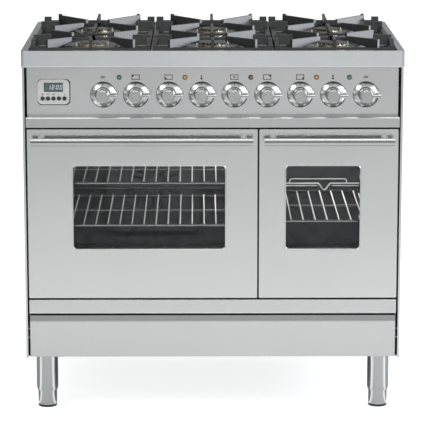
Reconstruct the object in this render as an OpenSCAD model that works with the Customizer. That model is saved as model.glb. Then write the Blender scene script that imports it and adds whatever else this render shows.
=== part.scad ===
// Free-standing range cooker with six gas burners, two ovens and a drawer.
// Millimetres, +Z up, +X right, the front faces -Y. The origin is on the
// floor, under the middle of the whole object. Depths are measured backwards
// from the front face of the worktop.

/* [Overall] */
// Width of the worktop
body_w = 900; // [860:5:1000]
// Depth of the worktop
body_d = 600; // [580:5:650]
// Clear height under the casing
leg_h = 133; // [110:1:150]
// Height of the drawer front
drawer_h = 143.5; // [120:0.5:170]
// Height of both oven doors
door_h = 408.5; // [390:0.5:460]
// Height of the ledge over the doors
ledge_h = 28; // [22:1:36]
// Height of the control panel
panel_h = 114.5; // [104:0.5:140]
// Height of the worktop's front
slab_t = 39.5; // [36:0.5:60]
// Height of the gap above and below the doors
door_gap = 4.5; // [3.5:0.5:8]

/* [Worktop and hob] */
// Corner radius of the worktop
slab_r = 6; // [3:1:12]
// Thickness of the worktop sheet
slab_sheet = 2; // [1.5:0.5:3]
// Width of the rim at each side of the hob
rim_side = 16; // [12:1:24]
// Width of the rim in front of the hob
rim_front = 5; // [4:1:12]
// Width of the rim behind the hob
rim_rear = 12; // [8:1:24]
// Depth of the hob tray below the rim
tray_drop = 6; // [4:1:9]
// Thickness of the hob tray
tray_t = 2; // [1.5:0.5:3]
// Depth of the front row of burners
burner_front_d = 148; // [145:1:155]
// Depth of the rear row of burners
burner_rear_d = 430; // [420:1:445]
// Diameter of a burner cap
cap_dia = 58; // [50:1:64]
// Diameter of a flame ring
ring_dia = 66; // [60:1:70]
// Number of ports in a flame ring
ring_ports = 24; // [12:2:36]
// Diameter of the dish round the wide front burner
dish_dia = 122; // [116:2:130]

/* [Pan supports] */
// Gap between neighbouring pan supports
grate_gap = 5; // [2:1:10]
// Width of a frame bar
bar_w = 10; // [8:1:12]
// Height of the side and rear bars above the rim
bar_rise = 7; // [5:1:9]
// Height of the front bar above the rim
front_bar_rise = 1.5; // [1:0.5:4]
// Height of the fingers above the rim
finger_rise = 20.5; // [19:0.5:26]
// Height of the nibs on the rear fingers
nib_h = 3.5; // [2:0.5:6]
// Thickness of a finger
finger_t = 7; // [5:0.5:9]
// Height of a finger at its tip
tip_h = 9; // [7:1:12]
// Length of the upright plates inside the side bars
rib_len = 44; // [36:1:50]
// Radius that the fingers leave free over a burner
finger_free_r = 47; // [42:1:52]
// Radius that they leave free over the wide burner
wide_free_r = 67; // [64:1:72]
// Height of the rear tabs above the rim
tab_rise = 16; // [11:1:18]
// Height of the humps at the front corners above the rim
hump_rise = 17; // [12:1:19]
// Width of a corner tab
tab_w = 18; // [14:1:24]

/* [Control panel] */
// Depth of the panel behind the worktop's front
panel_set = 25; // [20:1:35]
// Thickness of the panel and casing sheets
sheet = 1.2; // [1:0.1:1.6]
// Number of knobs
knob_count = 9; // [9]
// Distance of the first knob from the panel's left end
first_knob_in = 179.5; // [170:0.5:190]
// Distance of the last knob from the panel's right end
last_knob_in = 77.7; // [66:0.1:90]
// Height of the knobs above the panel's lower edge
knob_up = 48; // [44:1:56]
// Diameter of a knob's skirt
skirt_dia = 60; // [52:1:64]
// Height of a knob's skirt
skirt_h = 10; // [8:0.5:12]
// Diameter of a knob's grip at its foot
grip_dia = 34; // [30:1:38]
// Diameter of a knob's face
face_dia = 28.8; // [26:0.2:30]
// Reach of a knob in front of the panel
knob_reach = 46; // [38:1:50]
// Width of a knob's wing
wing_w = 7.5; // [6:0.5:9]
// Reach of the wing from the knob's axis
wing_reach = 35; // [33:0.5:38]
// Diameter of a knob's spindle
spindle_dia = 8; // [6:0.5:10]
// Running clearance of shafts, pins and slides
fit = 0.3; // [0.2:0.05:0.4]
// Height of the lamps above the panel's lower edge
lamp_up = 88; // [82:1:98]
// Diameter of a lamp
lamp_dia = 12; // [9:0.5:14]
// Width of the clock
clock_w = 75; // [70:1:84]
// Height of the clock
clock_h = 59; // [54:1:64]
// Distance of the clock's middle from the panel's left end
clock_in = 63; // [56:1:72]
// Height of the clock's middle above the panel's lower edge
clock_up = 54; // [46:1:62]
// Diameter of a clock button
button_dia = 9.5; // [8:0.5:10.5]
// Distance between clock buttons
button_pitch = 12.9; // [12:0.1:14]
// Travel of a clock button
button_travel = 1.2; // [0.8:0.1:2]

/* [Doors] */
// Right edge of the left door, from the middle
split_x = 106; // [80:1:120]
// Gap between the doors
split_gap = 4; // [3:0.5:6]
// Gap between a door and the casing's side strip
side_gap = 5.5; // [4:0.5:8]
// Thickness of a door
door_t = 36; // [34:1:38]
// Depth of the doors behind the worktop's front
door_set = 2; // [0:0.5:4]
// Middle of the left window
win_left_x = -151; // [-160:1:-140]
// Width of the left window
win_left_w = 361; // [320:1:380]
// Middle of the right window
win_right_x = 261.5; // [250:0.5:270]
// Width of the right window
win_right_w = 176; // [150:1:200]
// Height of the windows' lower edge above the door's
win_up = 120; // [100:1:140]
// Height of the windows
win_h = 200.5; // [170:0.5:220]
// Corner radius of the windows
win_r = 8.5; // [6:0.5:14]
// Radius of the rolled edge round a window
roll_r = 4; // [3:0.5:5]
// Thickness of a glass pane
glass_t = 4; // [3:0.5:5]
// Height of the hinge axis above the door's lower edge
hinge_up = 12; // [11:0.5:13]
// Depth of the hinge axis behind the door's face
hinge_in = 9.5; // [9:0.5:10]
// Diameter of the hinge pin
hinge_pin = 6; // [5:0.5:8]
// Thickness of a hinge arm
arm_t = 5; // [4:0.5:6]

/* [Handles] */
// Margin between a handle's end and the door's edge
handle_margin = 11; // [6:1:30]
// Height of a handle's middle above the door's lower edge
handle_up = 384; // [350:1:388]
// Height of a handle bar
handle_h = 16; // [12:0.5:20]
// Depth of a handle bar
handle_t = 19; // [14:0.5:22]
// Reach of a handle in front of the worktop
handle_reach = 45; // [40:1:60]
// Diameter of a handle's standoffs
standoff_dia = 19.5; // [14:0.5:20]
// Distance of a standoff from the handle's end
standoff_in = 22; // [16:1:60]

/* [Ovens] */
// Width of the left oven
oven_left_w = 430; // [410:1:440]
// Width of the right oven
oven_right_w = 250; // [230:1:260]
// Height of both ovens
oven_h = 328; // [310:1:336]
// Depth of both ovens
oven_d = 430; // [400:1:450]
// Height of the ovens' floor above the doors' lower edge
oven_up = 31; // [30:1:40]
// Thickness of the oven walls
liner_t = 1.5; // [1:0.1:2]
// Corner radius of the ovens
oven_r = 14; // [8:1:24]
// Diameter of a shelf's frame wire
frame_wire = 6; // [5:0.5:8]
// Diameter of a shelf's bars
bar_wire = 3.2; // [2.5:0.1:4]
// Distance between a shelf's bars
bar_pitch = 29; // [24:0.5:34]
// Distance between the shelf levels
level_pitch = 52; // [46:1:54]
// Height of the lowest level above the oven floor
level_up = 81; // [70:1:90]
// Extra height of the right oven's levels
right_level_up = 10; // [0:1:16]
// Diameter of the fan
fan_dia = 150; // [120:2:170]
// Number of fan blades
fan_blades = 14; // [8:1:20]

/* [Drawer] */
// Height of the drawer's pull lip
lip_h = 33.5; // [28:0.5:42]
// Depth of the lower panel behind the lip
lip_set = 13; // [11:0.5:20]
// Travel of the drawer
drawer_travel = 350; // [250:10:380]
// Depth of the drawer box
drawer_d = 500; // [460:10:520]

/* [Legs] */
// Diameter of a leg
leg_dia = 52; // [46:1:58]
// Diameter of a foot
foot_dia = 45.5; // [40:0.5:46]
// Height of a foot that shows under its leg
foot_h = 41; // [34:1:60]
// Travel of a foot
foot_travel = 30; // [10:1:30]
// Distance of the legs from the middle
leg_x = 402; // [380:1:410]
// Depth of the front legs
leg_front_d = 60; // [50:1:80]
// Distance of the rear legs from the worktop's rear
leg_rear = 60; // [50:1:90]

/* [Hidden] */
$fn = 48;

// Overall places
front_y = -(body_d - handle_reach) / 2;
door_z = leg_h + drawer_h + door_gap;
door_top = door_z + door_h;
ledge_z = door_top + door_gap;
panel_z = ledge_z + ledge_h;
slab_z = panel_z + panel_h;
work_h = slab_z + slab_t;
eps = 0.01;

// Casing
side_out = body_w / 2 - 2;
side_strip = 3.5;
side_set = 3;
side_fold = 15;
rear_set = 28;
side_in = side_out - sheet;
casing_end = body_d - rear_set;
flange = 18;
front_edge = side_out - side_strip - side_gap;
frame_d = door_set + door_t + 6;
frame_t = 2;
oven_z = door_z + oven_up;
oven_top = oven_z + oven_h;
liner_d = frame_d + frame_t;
oven_back = liner_d + oven_d;
liner_end = oven_back + liner_t;
cover_gap = 22;
lamp_in = 60;
lamp_down = 50;

// Hob
tray_z = work_h - tray_drop;
hob_x = body_w / 2 - rim_side;
hob_front = rim_front;
hob_rear = body_d - rim_rear;
grate_play = 3;
grate_w = (2 * (hob_x - grate_play) - 2 * grate_gap) / 3;
grate_pitch = grate_w + grate_gap;
grate_front = 45;
grate_rear = hob_rear - 10;
foot_rise = 2;
foot_in = 39;
gusset_h = 7;
finger_top = work_h + finger_rise;
base_h = 2;
burner_deep = 30;
ring_h = 6.5;
cap_z = tray_z + base_h + ring_h;
cap_h = 3.5;
probe_r = 40;
probe_dia = 5;

// Controls
knob_first_x = -front_edge + first_knob_in;
knob_pitch = (2 * front_edge - first_knob_in - last_knob_in) / (knob_count - 1);
clock_x = -front_edge + clock_in;
knob_z = panel_z + knob_up;
lamp_z = panel_z + lamp_up;
clock_z = panel_z + clock_up;
panel_back = panel_set + sheet;
lamp_slots = [0.5, 2.5, 4.5, 6.5, 7.5];
clock_proud = 3;
clock_deep = 30;
clock_r = 12;
lcd_w = 45;
lcd_h = 22;
lcd_up = 11;
button_down = 15.5;
gas_knobs = [1, 2, 4, 5, 6];
oven_knobs = [0, 3, 7, 8];
tap_len = 46;
tap_r = 12;
pipe_dia = 16;
pipe_sunk = 3;
pipe_d = panel_back + tap_len + pipe_dia / 2 - pipe_sunk;
tube_dia = 8;
tube_levels = [knob_z + 42, knob_z + 56];
inlet_in = 37;
inlet_x = side_in - inlet_in;
inlet_z = knob_z + 24;
inlet_dia = 21;
inlet_len = 22;

// Doors
left_door = [-front_edge, split_x];
right_door = [split_x + split_gap, front_edge];
left_win = [win_left_x - win_left_w / 2, win_left_x + win_left_w / 2];
right_win = [win_right_x - win_right_w / 2, win_right_x + win_right_w / 2];
left_oven = [win_left_x - oven_left_w / 2, win_left_x + oven_left_w / 2];
right_oven = [win_right_x - oven_right_w / 2, win_right_x + oven_right_w / 2];
door_back = door_set + door_t;
hinge_d = door_set + hinge_in;
hinge_z = door_z + hinge_up;
hinge_inset = 40;
cheek_t = 3;
arm_h = 14;
seal_w = 8;
seal_out = 6;
level_count = 5;
shelf_play = 6;
fan_x = (left_oven[0] + left_oven[1]) / 2;
fan_z = (oven_z + oven_top) / 2;
left_levels = [1, 3];
right_levels = [1];

// Drawer and legs
drawer_x = front_edge;
drawer_top = leg_h + drawer_h;
box_x = side_in - 30;
box_z = leg_h + 16;
box_h = 100;
rail_h = 24;
rail_z = box_z + 30;
rail_t = 2;
leg_rear_d = body_d - leg_rear;
pad_h = 6;

// Moves what follows from slab depths to the object's own origin
module at_rest() { translate([0, front_y, 0]) children(); }

// Flat outline in X and Z, swept backwards from depth d
module facing(d, t) {
    translate([0, d + t, 0]) rotate([90, 0, 0]) linear_extrude(t) children();
}

// Flat outline in depth and Z, swept along X
module across(x0, x1) {
    translate([x0, 0, 0]) rotate([90, 0, 90]) linear_extrude(x1 - x0) children();
}

// Rectangle with round corners, by its edges
module round_box(x0, x1, z0, z1, r) {
    translate([x0 + r, z0]) square([x1 - x0 - 2 * r, z1 - z0]);
    translate([x0, z0 + r]) square([x1 - x0, z1 - z0 - 2 * r]);
    for (x = [x0 + r, x1 - r], z = [z0 + r, z1 - r]) translate([x, z]) circle(r);
}

module rect(x0, x1, z0, z1) { translate([x0, z0]) square([x1 - x0, z1 - z0]); }

// Something turned about an axis that points out of the front
module on_panel(x, d, z) { translate([x, d, z]) rotate([90, 0, 0]) children(); }

// Casing

module side_panel() {
    translate([0, 0, leg_h]) linear_extrude(slab_z - leg_h) {
        rect(-side_out, -side_in, side_set, casing_end);
        rect(-side_out, -side_out + side_strip, side_set, side_set + side_fold);
        rect(-side_out, -side_out + flange, casing_end - sheet, casing_end);
    }
}

module side_panels() {
    color("silver") at_rest() {
        side_panel();
        mirror([1, 0, 0]) side_panel();
    }
}

module back_panel() {
    vent_w = 60;
    vent_h = 6;
    cover_w = 120;
    cover_h = 90;
    cover_x = -300;
    cover_z = slab_z - 190;
    cover_play = 2;
    gland_r = 11;
    gland_h = 16;
    cord_r = 5;
    color("lightgray") at_rest() {
        facing(casing_end, sheet) difference() {
            rect(-side_in, side_in, leg_h, slab_z);
            for (x = [-5:5], z = [0:3])
                translate([x * 72 - vent_w / 2, slab_z - 60 + z * 12]) square([vent_w, vent_h]);
            translate([inlet_x, inlet_z]) circle(pipe_dia / 2 + 1);
        }
        facing(casing_end + sheet / 2, rear_set - sheet / 2 - cover_play)
            round_box(cover_x, cover_x + cover_w, cover_z, cover_z + cover_h, 6);
        translate([cover_x + cover_w / 2, casing_end + sheet + gland_r + 1, cover_z - gland_h])
            difference() {
                cylinder(r = gland_r, h = gland_h + sheet);
                translate([0, 0, -1]) cylinder(r = cord_r, h = gland_h - 3);
            }
    }
}

module base_tray() {
    color("gray") at_rest() {
        difference() {
            translate([-side_in, side_set + side_fold, leg_h])
                cube([2 * side_in, casing_end - sheet - side_set - side_fold, 2]);
            for (x = [-leg_x, leg_x], d = [leg_front_d, leg_rear_d])
                translate([x, d, leg_h - 1]) cylinder(r = 5, h = 4);
        }
        for (s = [0, 1]) mirror([s, 0, 0]) {
            translate([-side_in, side_set + side_fold, leg_h])
                cube([rail_t, drawer_d + 30, rail_z + rail_h - leg_h]);
            translate([-side_in, side_set + side_fold, rail_z]) {
                cube([22, drawer_d, rail_t]);
                translate([0, 0, rail_h - rail_t]) cube([22, drawer_d, rail_t]);
            }
        }
    }
}

// One hinge arm, carried by the front frame and bored for the door's pin
module hinge_arm(x) {
    translate([x - arm_t / 2, hinge_d, hinge_z]) rotate([90, 0, 90])
        difference() {
            union() {
                cylinder(r = arm_h / 2, h = arm_t);
                translate([0, -arm_h / 2, 0]) cube([frame_d - hinge_d + frame_t, arm_h, arm_t]);
            }
            translate([0, 0, -1]) cylinder(r = hinge_pin / 2 + fit / 2, h = arm_t + 2);
        }
}

function hinge_places(door) = [door[0] + hinge_inset, door[1] - hinge_inset];

module front_frame() {
    bottom_fold = 60;
    color("dimgray") at_rest() {
        facing(frame_d, frame_t) difference() {
            rect(-side_in, side_in, drawer_top, panel_z);
            round_box(left_oven[0], left_oven[1], oven_z, oven_top, oven_r);
            round_box(right_oven[0], right_oven[1], oven_z, oven_top, oven_r);
        }
        translate([-side_in, frame_d, drawer_top]) cube([2 * side_in, bottom_fold, frame_t]);
        for (x = hinge_places(left_door)) hinge_arm(x);
        for (x = hinge_places(right_door)) hinge_arm(x);
    }
}

module door_seals() {
    color("dimgray") at_rest() for (o = [left_oven, right_oven])
        facing(door_back + fit, frame_d - door_back - fit) difference() {
            round_box(o[0] - seal_out - seal_w, o[1] + seal_out + seal_w,
                oven_z - seal_out, oven_top + seal_out + seal_w, oven_r + seal_w);
            round_box(o[0] - seal_out, o[1] + seal_out,
                oven_z - seal_out + seal_w, oven_top + seal_out, oven_r);
        }
}

// Ovens

module oven_liner(o, shaft_hole) {
    lip = 12;
    difference() {
        union() {
            facing(liner_d, oven_d + liner_t)
                round_box(o[0] - liner_t, o[1] + liner_t, oven_z - liner_t, oven_top + liner_t,
                    oven_r + liner_t);
            facing(liner_d, liner_t)
                rect(o[0] - lip, o[1] + lip, oven_z - lip, oven_top + lip);
        }
        facing(liner_d - 1, oven_d + 1) round_box(o[0], o[1], oven_z, oven_top, oven_r);
        on_panel(o[1] - lamp_in, liner_end + 1, oven_top - lamp_down)
            cylinder(r = 22, h = liner_t + 2);
        if (shaft_hole)
            on_panel((o[0] + o[1]) / 2, liner_end + 1, (oven_z + oven_top) / 2)
                cylinder(r = 12, h = liner_t + 2);
    }
}

module oven_liner_left() { color("darkslategray") at_rest() oven_liner(left_oven, true); }

module oven_liner_right() { color("darkslategray") at_rest() oven_liner(right_oven, false); }

// Ladder of wires that carries the shelves at one side of an oven
module shelf_guide(x, s, up) {
    wire = 5;
    rung = 4;
    reach = 9;
    post_in = 16;
    post_down = 24;
    post_up = 12;
    z0 = oven_z + level_up + up;
    wire_down = frame_wire / 2 + 2;
    d0 = liner_d + 24;
    d1 = liner_d + oven_d - 40;
    for (d = [d0 + post_in, d1 - post_in])
        translate([x + s * wire / 2, d, z0 - post_down])
            cylinder(d = wire, h = level_pitch * (level_count - 1) + post_down + post_up);
    for (i = [0:level_count - 1])
        translate([x + s * reach, d0, z0 + i * level_pitch - wire_down])
            rotate([-90, 0, 0]) cylinder(d = rung, h = d1 - d0);
    for (i = [0:level_count - 1], d = [d0 + post_in, d1 - post_in])
        translate([x + s * wire / 2, d, z0 + i * level_pitch - wire_down])
            rotate([0, s * 90, 0]) cylinder(d = rung, h = reach - wire / 2 + 1);
}

module shelf_guides() {
    color("silver") at_rest() {
        shelf_guide(left_oven[0], 1, 0);
        shelf_guide(left_oven[1], -1, 0);
        shelf_guide(right_oven[0], 1, right_level_up);
        shelf_guide(right_oven[1], -1, right_level_up);
    }
}

// Wire shelf: a frame with bars from front to rear and a raised back rail
module wire_shelf(o, level, up, d1, dipped) {
    x0 = o[0] + shelf_play;
    x1 = o[1] - shelf_play;
    d0 = liner_d + 20;
    z = oven_z + level_up + up + level * level_pitch;
    side_wire = frame_wire - 0.4;
    post_wire = frame_wire - 0.8;
    rail_wire = frame_wire - 1.2;
    side_rod = frame_wire / 2 + 0.6;
    gaps = floor((x1 - x0 - 2 * frame_wire) / bar_pitch - 0.5);
    stop_h = 20;
    mid = (x0 + x1) / 2;
    dip_w = 31;
    dip_x = mid + 28;
    for (d = [d0, d1])
        translate([x0, d, z]) rotate([0, 90, 0]) cylinder(d = frame_wire, h = x1 - x0);
    translate([x0, (d0 + d1) / 2, z - 0.5]) rotate([0, 90, 0])
        cylinder(d = rail_wire, h = x1 - x0);
    for (x = [x0 + side_rod, x1 - side_rod]) {
        translate([x, d0, z]) rotate([-90, 0, 0]) cylinder(d = side_wire, h = d1 - d0);
        translate([x, d1, z]) cylinder(d = post_wire, h = stop_h);
    }
    for (i = [0:gaps])
        translate([mid + (i - gaps / 2) * bar_pitch, d0, z + frame_wire / 2 - 0.6])
            rotate([-90, 0, 0]) cylinder(d = bar_wire, h = d1 - d0);
    if (dipped) {
        for (s = [-1, 1]) {
            translate([dip_x + s * dip_w / 2, d1, z]) cylinder(d = post_wire, h = stop_h);
            translate([s < 0 ? x0 : dip_x + dip_w / 2, d1, z + stop_h]) rotate([0, 90, 0])
                cylinder(d = rail_wire, h = (s < 0 ? dip_x - x0 : x1 - dip_x) - dip_w / 2);
        }
    } else {
        translate([x0, d1, z + stop_h]) rotate([0, 90, 0])
            cylinder(d = rail_wire, h = x1 - x0);
    }
}

module wire_shelves() {
    color("gainsboro") at_rest() {
        for (level = left_levels)
            wire_shelf(left_oven, level, 0, oven_back - cover_gap - shelf_play, false);
        for (level = right_levels)
            wire_shelf(right_oven, level, right_level_up, oven_back - 2 * shelf_play, true);
    }
}

// Bent heating tube under an oven's roof
module grill_element(o) {
    rod = 6.5;
    runs = 6;
    end_in = 50;
    pitch = (o[1] - o[0] - 2 * end_in) / (runs - 1);
    d0 = liner_d + 70;
    d1 = liner_d + oven_d - 80;
    z = oven_top - 18;
    x0 = o[0] + end_in;
    for (i = [0:runs - 1]) {
        end = (i == 0 || i == runs - 1) ? liner_d + oven_d : d1;
        translate([x0 + i * pitch, d0, z]) rotate([-90, 0, 0]) cylinder(d = rod, h = end - d0);
    }
    for (i = [0:runs - 2])
        translate([x0 + (i + 0.5) * pitch, i % 2 == 0 ? d0 : d1, z])
            rotate([0, 0, i % 2 == 0 ? 180 : 0])
                rotate_extrude(angle = 180) translate([pitch / 2, 0]) circle(d = rod);
}

module grill_elements() {
    color("gray") at_rest() {
        grill_element(left_oven);
        grill_element(right_oven);
    }
}

module fan_cover() {
    cover_w = 240;
    cover_h = 250;
    slot_count = 16;
    slot_r = [26, 66];
    stud_in = 16;
    cover_t = 1.5;
    color("slategray") at_rest() {
        difference() {
            facing(oven_back - cover_gap, cover_t)
                round_box(fan_x - cover_w / 2, fan_x + cover_w / 2, fan_z - cover_h / 2,
                    fan_z + cover_h / 2, 20);
            on_panel(fan_x, oven_back - cover_gap + cover_t + 1, fan_z)
                for (i = [0:slot_count - 1]) rotate([0, 0, i * 360 / slot_count])
                    translate([slot_r[0], -2.5, 0]) cube([slot_r[1] - slot_r[0], 5, cover_t + 2]);
        }
        for (x = [-1, 1], z = [-1, 1])
            on_panel(fan_x + x * (cover_w / 2 - stud_in), oven_back,
                fan_z + z * (cover_h / 2 - stud_in))
                cylinder(r = 5, h = cover_gap - cover_t + eps);
    }
}

module fan() {
    blade_h = 12;
    plate_t = 1.5;
    color("silver") at_rest() on_panel(fan_x, oven_back - 4, fan_z) {
        cylinder(d = fan_dia, h = plate_t);
        cylinder(d = 24, h = blade_h);
        translate([0, 0, -34]) cylinder(d = spindle_dia, h = 36);
        for (i = [0:fan_blades - 1]) rotate([0, 0, i * 360 / fan_blades])
            translate([fan_dia / 2 - 34, 0, 0]) rotate([0, 0, 28])
                translate([0, -0.8, 0]) cube([30, 1.6, blade_h]);
    }
}

module fan_motor() {
    neck_dia = 70;
    neck = 8;
    can_dia = 84;
    can = 54;
    strap_w = 130;
    strap_h = 40;
    strap_t = 2;
    stud_dia = 12;
    stud_x = 55;
    bore = 40;
    color("gray") at_rest() difference() {
        union() {
            on_panel(fan_x, liner_end + neck + eps, fan_z) cylinder(d = neck_dia, h = neck + eps);
            on_panel(fan_x, liner_end + neck + can, fan_z) cylinder(d = can_dia, h = can);
            facing(liner_end + neck, strap_t)
                round_box(fan_x - strap_w / 2, fan_x + strap_w / 2, fan_z - strap_h / 2,
                    fan_z + strap_h / 2, 8);
            for (x = [-stud_x, stud_x])
                on_panel(fan_x + x, liner_end + neck + strap_t / 2, fan_z)
                    cylinder(d = stud_dia, h = neck + strap_t / 2);
        }
        on_panel(fan_x, liner_end + bore, fan_z) cylinder(d = spindle_dia + 2 * fit, h = bore + 1);
    }
}

module oven_lamps() {
    flange_r = 26;
    flange_t = 3;
    holder_r = 20;
    holder_deep = 24;
    lens_r = 24;
    color("lightyellow") at_rest() for (o = [left_oven, right_oven])
        on_panel(o[1] - lamp_in, oven_back, oven_top - lamp_down) rotate_extrude() {
            square([flange_r, flange_t]);
            translate([0, -holder_deep]) square([holder_r, holder_deep + 1]);
            intersection() {
                translate([0, -lens_r / 3]) circle(lens_r);
                square([lens_r, lens_r]);
            }
        }
}

// Control panel and what it carries

module control_panel() {
    fold = 34;
    color("silver") at_rest() {
        facing(panel_set, sheet) difference() {
            rect(-front_edge, front_edge, panel_z, slab_z);
            for (i = [0:knob_count - 1])
                translate([knob_first_x + i * knob_pitch, knob_z]) circle(spindle_dia / 2 + 1.5);
            for (i = lamp_slots)
                translate([knob_first_x + i * knob_pitch, lamp_z]) circle(lamp_dia / 2 - 1.5 + fit);
            round_box(clock_x - clock_w / 2 + 4, clock_x + clock_w / 2 - 4,
                clock_z - clock_h / 2 + 4, clock_z + clock_h / 2 - 4, clock_r - 4);
        }
        translate([-front_edge, panel_set, slab_z - sheet]) cube([2 * front_edge, fold, sheet]);
        for (x = [-front_edge, front_edge - sheet])
            translate([x, panel_set, panel_z]) cube([sheet, fold, panel_h]);
    }
}

module front_ledge() {
    slope = 4;
    edge_r = 3;
    color("silver") at_rest() across(-front_edge - 2, front_edge + 2) difference() {
        union() {
            polygon([[0, ledge_z], [frame_d, ledge_z], [frame_d, panel_z], [panel_set, panel_z],
                [edge_r, panel_z - slope], [0, panel_z - slope - edge_r]]);
            translate([edge_r, panel_z - slope - edge_r]) circle(edge_r);
        }
        polygon([[sheet, ledge_z + sheet], [frame_d + 1, ledge_z + sheet],
            [frame_d + 1, panel_z - sheet], [panel_set, panel_z - sheet],
            [edge_r, panel_z - slope - sheet], [sheet, panel_z - slope - edge_r]]);
    }
}

// Gas tube from the tap at x0 up, back to depth d, across to x1 and up to a burner
module gas_tube(x0, x1, d, z) {
    start_d = panel_back + tap_len / 2 + 1;
    start_z = knob_z + tap_r - 3;
    translate([x0, start_d, start_z]) cylinder(d = tube_dia, h = z - start_z);
    translate([x0, start_d, z]) sphere(d = tube_dia);
    translate([x0, start_d, z]) rotate([-90, 0, 0]) cylinder(d = tube_dia, h = d - start_d);
    translate([x0, d, z]) sphere(d = tube_dia);
    translate([min(x0, x1), d, z]) rotate([0, 90, 0]) cylinder(d = tube_dia, h = abs(x1 - x0));
    translate([x1, d, z]) sphere(d = tube_dia);
    translate([x1, d, z]) cylinder(d = tube_dia, h = tray_z - burner_deep - z);
}

module gas_tubes() {
    tap_x = [for (i = gas_knobs) knob_first_x + i * knob_pitch];
    gas_tube(tap_x[0], -grate_pitch, burner_rear_d, tube_levels[0]);
    gas_tube(tap_x[1], -grate_pitch, burner_front_d, tube_levels[1]);
    gas_tube(tap_x[2], 0, burner_rear_d, tube_levels[0]);
    gas_tube(tap_x[3], grate_pitch, burner_rear_d, tube_levels[0]);
    gas_tube(tap_x[4], grate_pitch, burner_front_d, tube_levels[1]);
    translate([0, burner_front_d, tube_levels[0]]) {
        rotate([0, 90, 0]) cylinder(d = tube_dia, h = tap_x[2]);
        sphere(d = tube_dia);
        cylinder(d = tube_dia, h = tray_z - burner_deep - tube_levels[0]);
    }
}

module control_valves() {
    first_tap = knob_first_x + gas_knobs[0] * knob_pitch - 30;
    flange_t = 8;
    boss = 12;
    control = [24, 22, 32];
    color("darkgoldenrod") at_rest() {
        for (i = gas_knobs)
            on_panel(knob_first_x + i * knob_pitch, panel_back + tap_len, knob_z)
                difference() {
                    union() {
                        cylinder(r = tap_r - 2, h = tap_len);
                        translate([0, 0, flange_t]) cylinder(r = tap_r, h = tap_len - 18);
                        translate([-tap_r, -tap_r, boss]) cube([2 * tap_r, 2 * tap_r, 14]);
                    }
                    translate([0, 0, boss]) cylinder(d = spindle_dia + 2 * fit, h = tap_len);
                }
        for (i = oven_knobs)
            difference() {
                translate([knob_first_x + i * knob_pitch, 0, 0]) facing(panel_back, control[2])
                    round_box(-control[0], control[0], knob_z - control[1], knob_z + control[1], 4);
                on_panel(knob_first_x + i * knob_pitch, panel_back + control[2] - 4, knob_z)
                    cylinder(d = spindle_dia + 2 * fit, h = 40);
            }
        translate([first_tap, pipe_d, knob_z]) rotate([0, 90, 0])
            cylinder(d = pipe_dia, h = inlet_x - first_tap);
        translate([inlet_x, pipe_d, knob_z]) sphere(d = pipe_dia);
        translate([inlet_x, pipe_d, knob_z]) cylinder(d = pipe_dia, h = inlet_z - knob_z);
        translate([inlet_x, pipe_d, inlet_z]) sphere(d = pipe_dia);
        translate([inlet_x, pipe_d, inlet_z]) rotate([-90, 0, 0])
            cylinder(d = pipe_dia, h = body_d - 2 - inlet_len - pipe_d + eps);
        translate([inlet_x, body_d - 2 - inlet_len, inlet_z]) rotate([-90, 0, 0])
            cylinder(d = inlet_dia, h = inlet_len);
        gas_tubes();
    }
}

module indicator_lamps() {
    color("seagreen") at_rest() for (i = lamp_slots)
        on_panel(knob_first_x + i * knob_pitch, panel_set, lamp_z) rotate_extrude() {
            square([lamp_dia / 2, 1.5]);
            translate([0, -14]) square([lamp_dia / 2 - 1.5, 14 + eps]);
            intersection() {
                translate([0, -lamp_dia / 2 + 2.2]) circle(lamp_dia / 2 + 0.6);
                translate([0, 1]) square([lamp_dia / 2 - 1, 4]);
            }
        }
}

module clock_case() {
    edge = 4;
    color("lightgray") at_rest() difference() {
        union() {
            facing(panel_set - clock_proud, clock_proud)
                round_box(clock_x - clock_w / 2, clock_x + clock_w / 2, clock_z - clock_h / 2,
                    clock_z + clock_h / 2, clock_r);
            facing(panel_set - eps, clock_deep)
                round_box(clock_x - clock_w / 2 + edge + fit, clock_x + clock_w / 2 - edge - fit,
                    clock_z - clock_h / 2 + edge + fit, clock_z + clock_h / 2 - edge - fit,
                    clock_r - edge);
        }
        facing(panel_set - clock_proud - 1, 3.5)
            rect(clock_x - lcd_w / 2, clock_x + lcd_w / 2, clock_z + lcd_up - lcd_h / 2,
                clock_z + lcd_up + lcd_h / 2);
        for (i = [-2:2])
            on_panel(clock_x + i * button_pitch, panel_set - clock_proud + 12,
                clock_z - button_down) cylinder(d = button_dia + 2 * fit, h = 20);
    }
}

module clock_display() {
    color("darkslategray") at_rest() facing(panel_set - clock_proud + 1, 1.5)
        rect(clock_x - lcd_w / 2, clock_x + lcd_w / 2, clock_z + lcd_up - lcd_h / 2,
            clock_z + lcd_up + lcd_h / 2);
}

module clock_button(i) {
    color("black") at_rest()
        on_panel(clock_x + (i - 3) * button_pitch,
            panel_set - clock_proud + 12 - fit - button_travel, clock_z - button_down)
            rotate_extrude() {
                square([button_dia / 2, 11.5]);
                intersection() {
                    translate([0, 4]) circle(9.5);
                    square([button_dia / 2, 14]);
                }
            }
}

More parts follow.
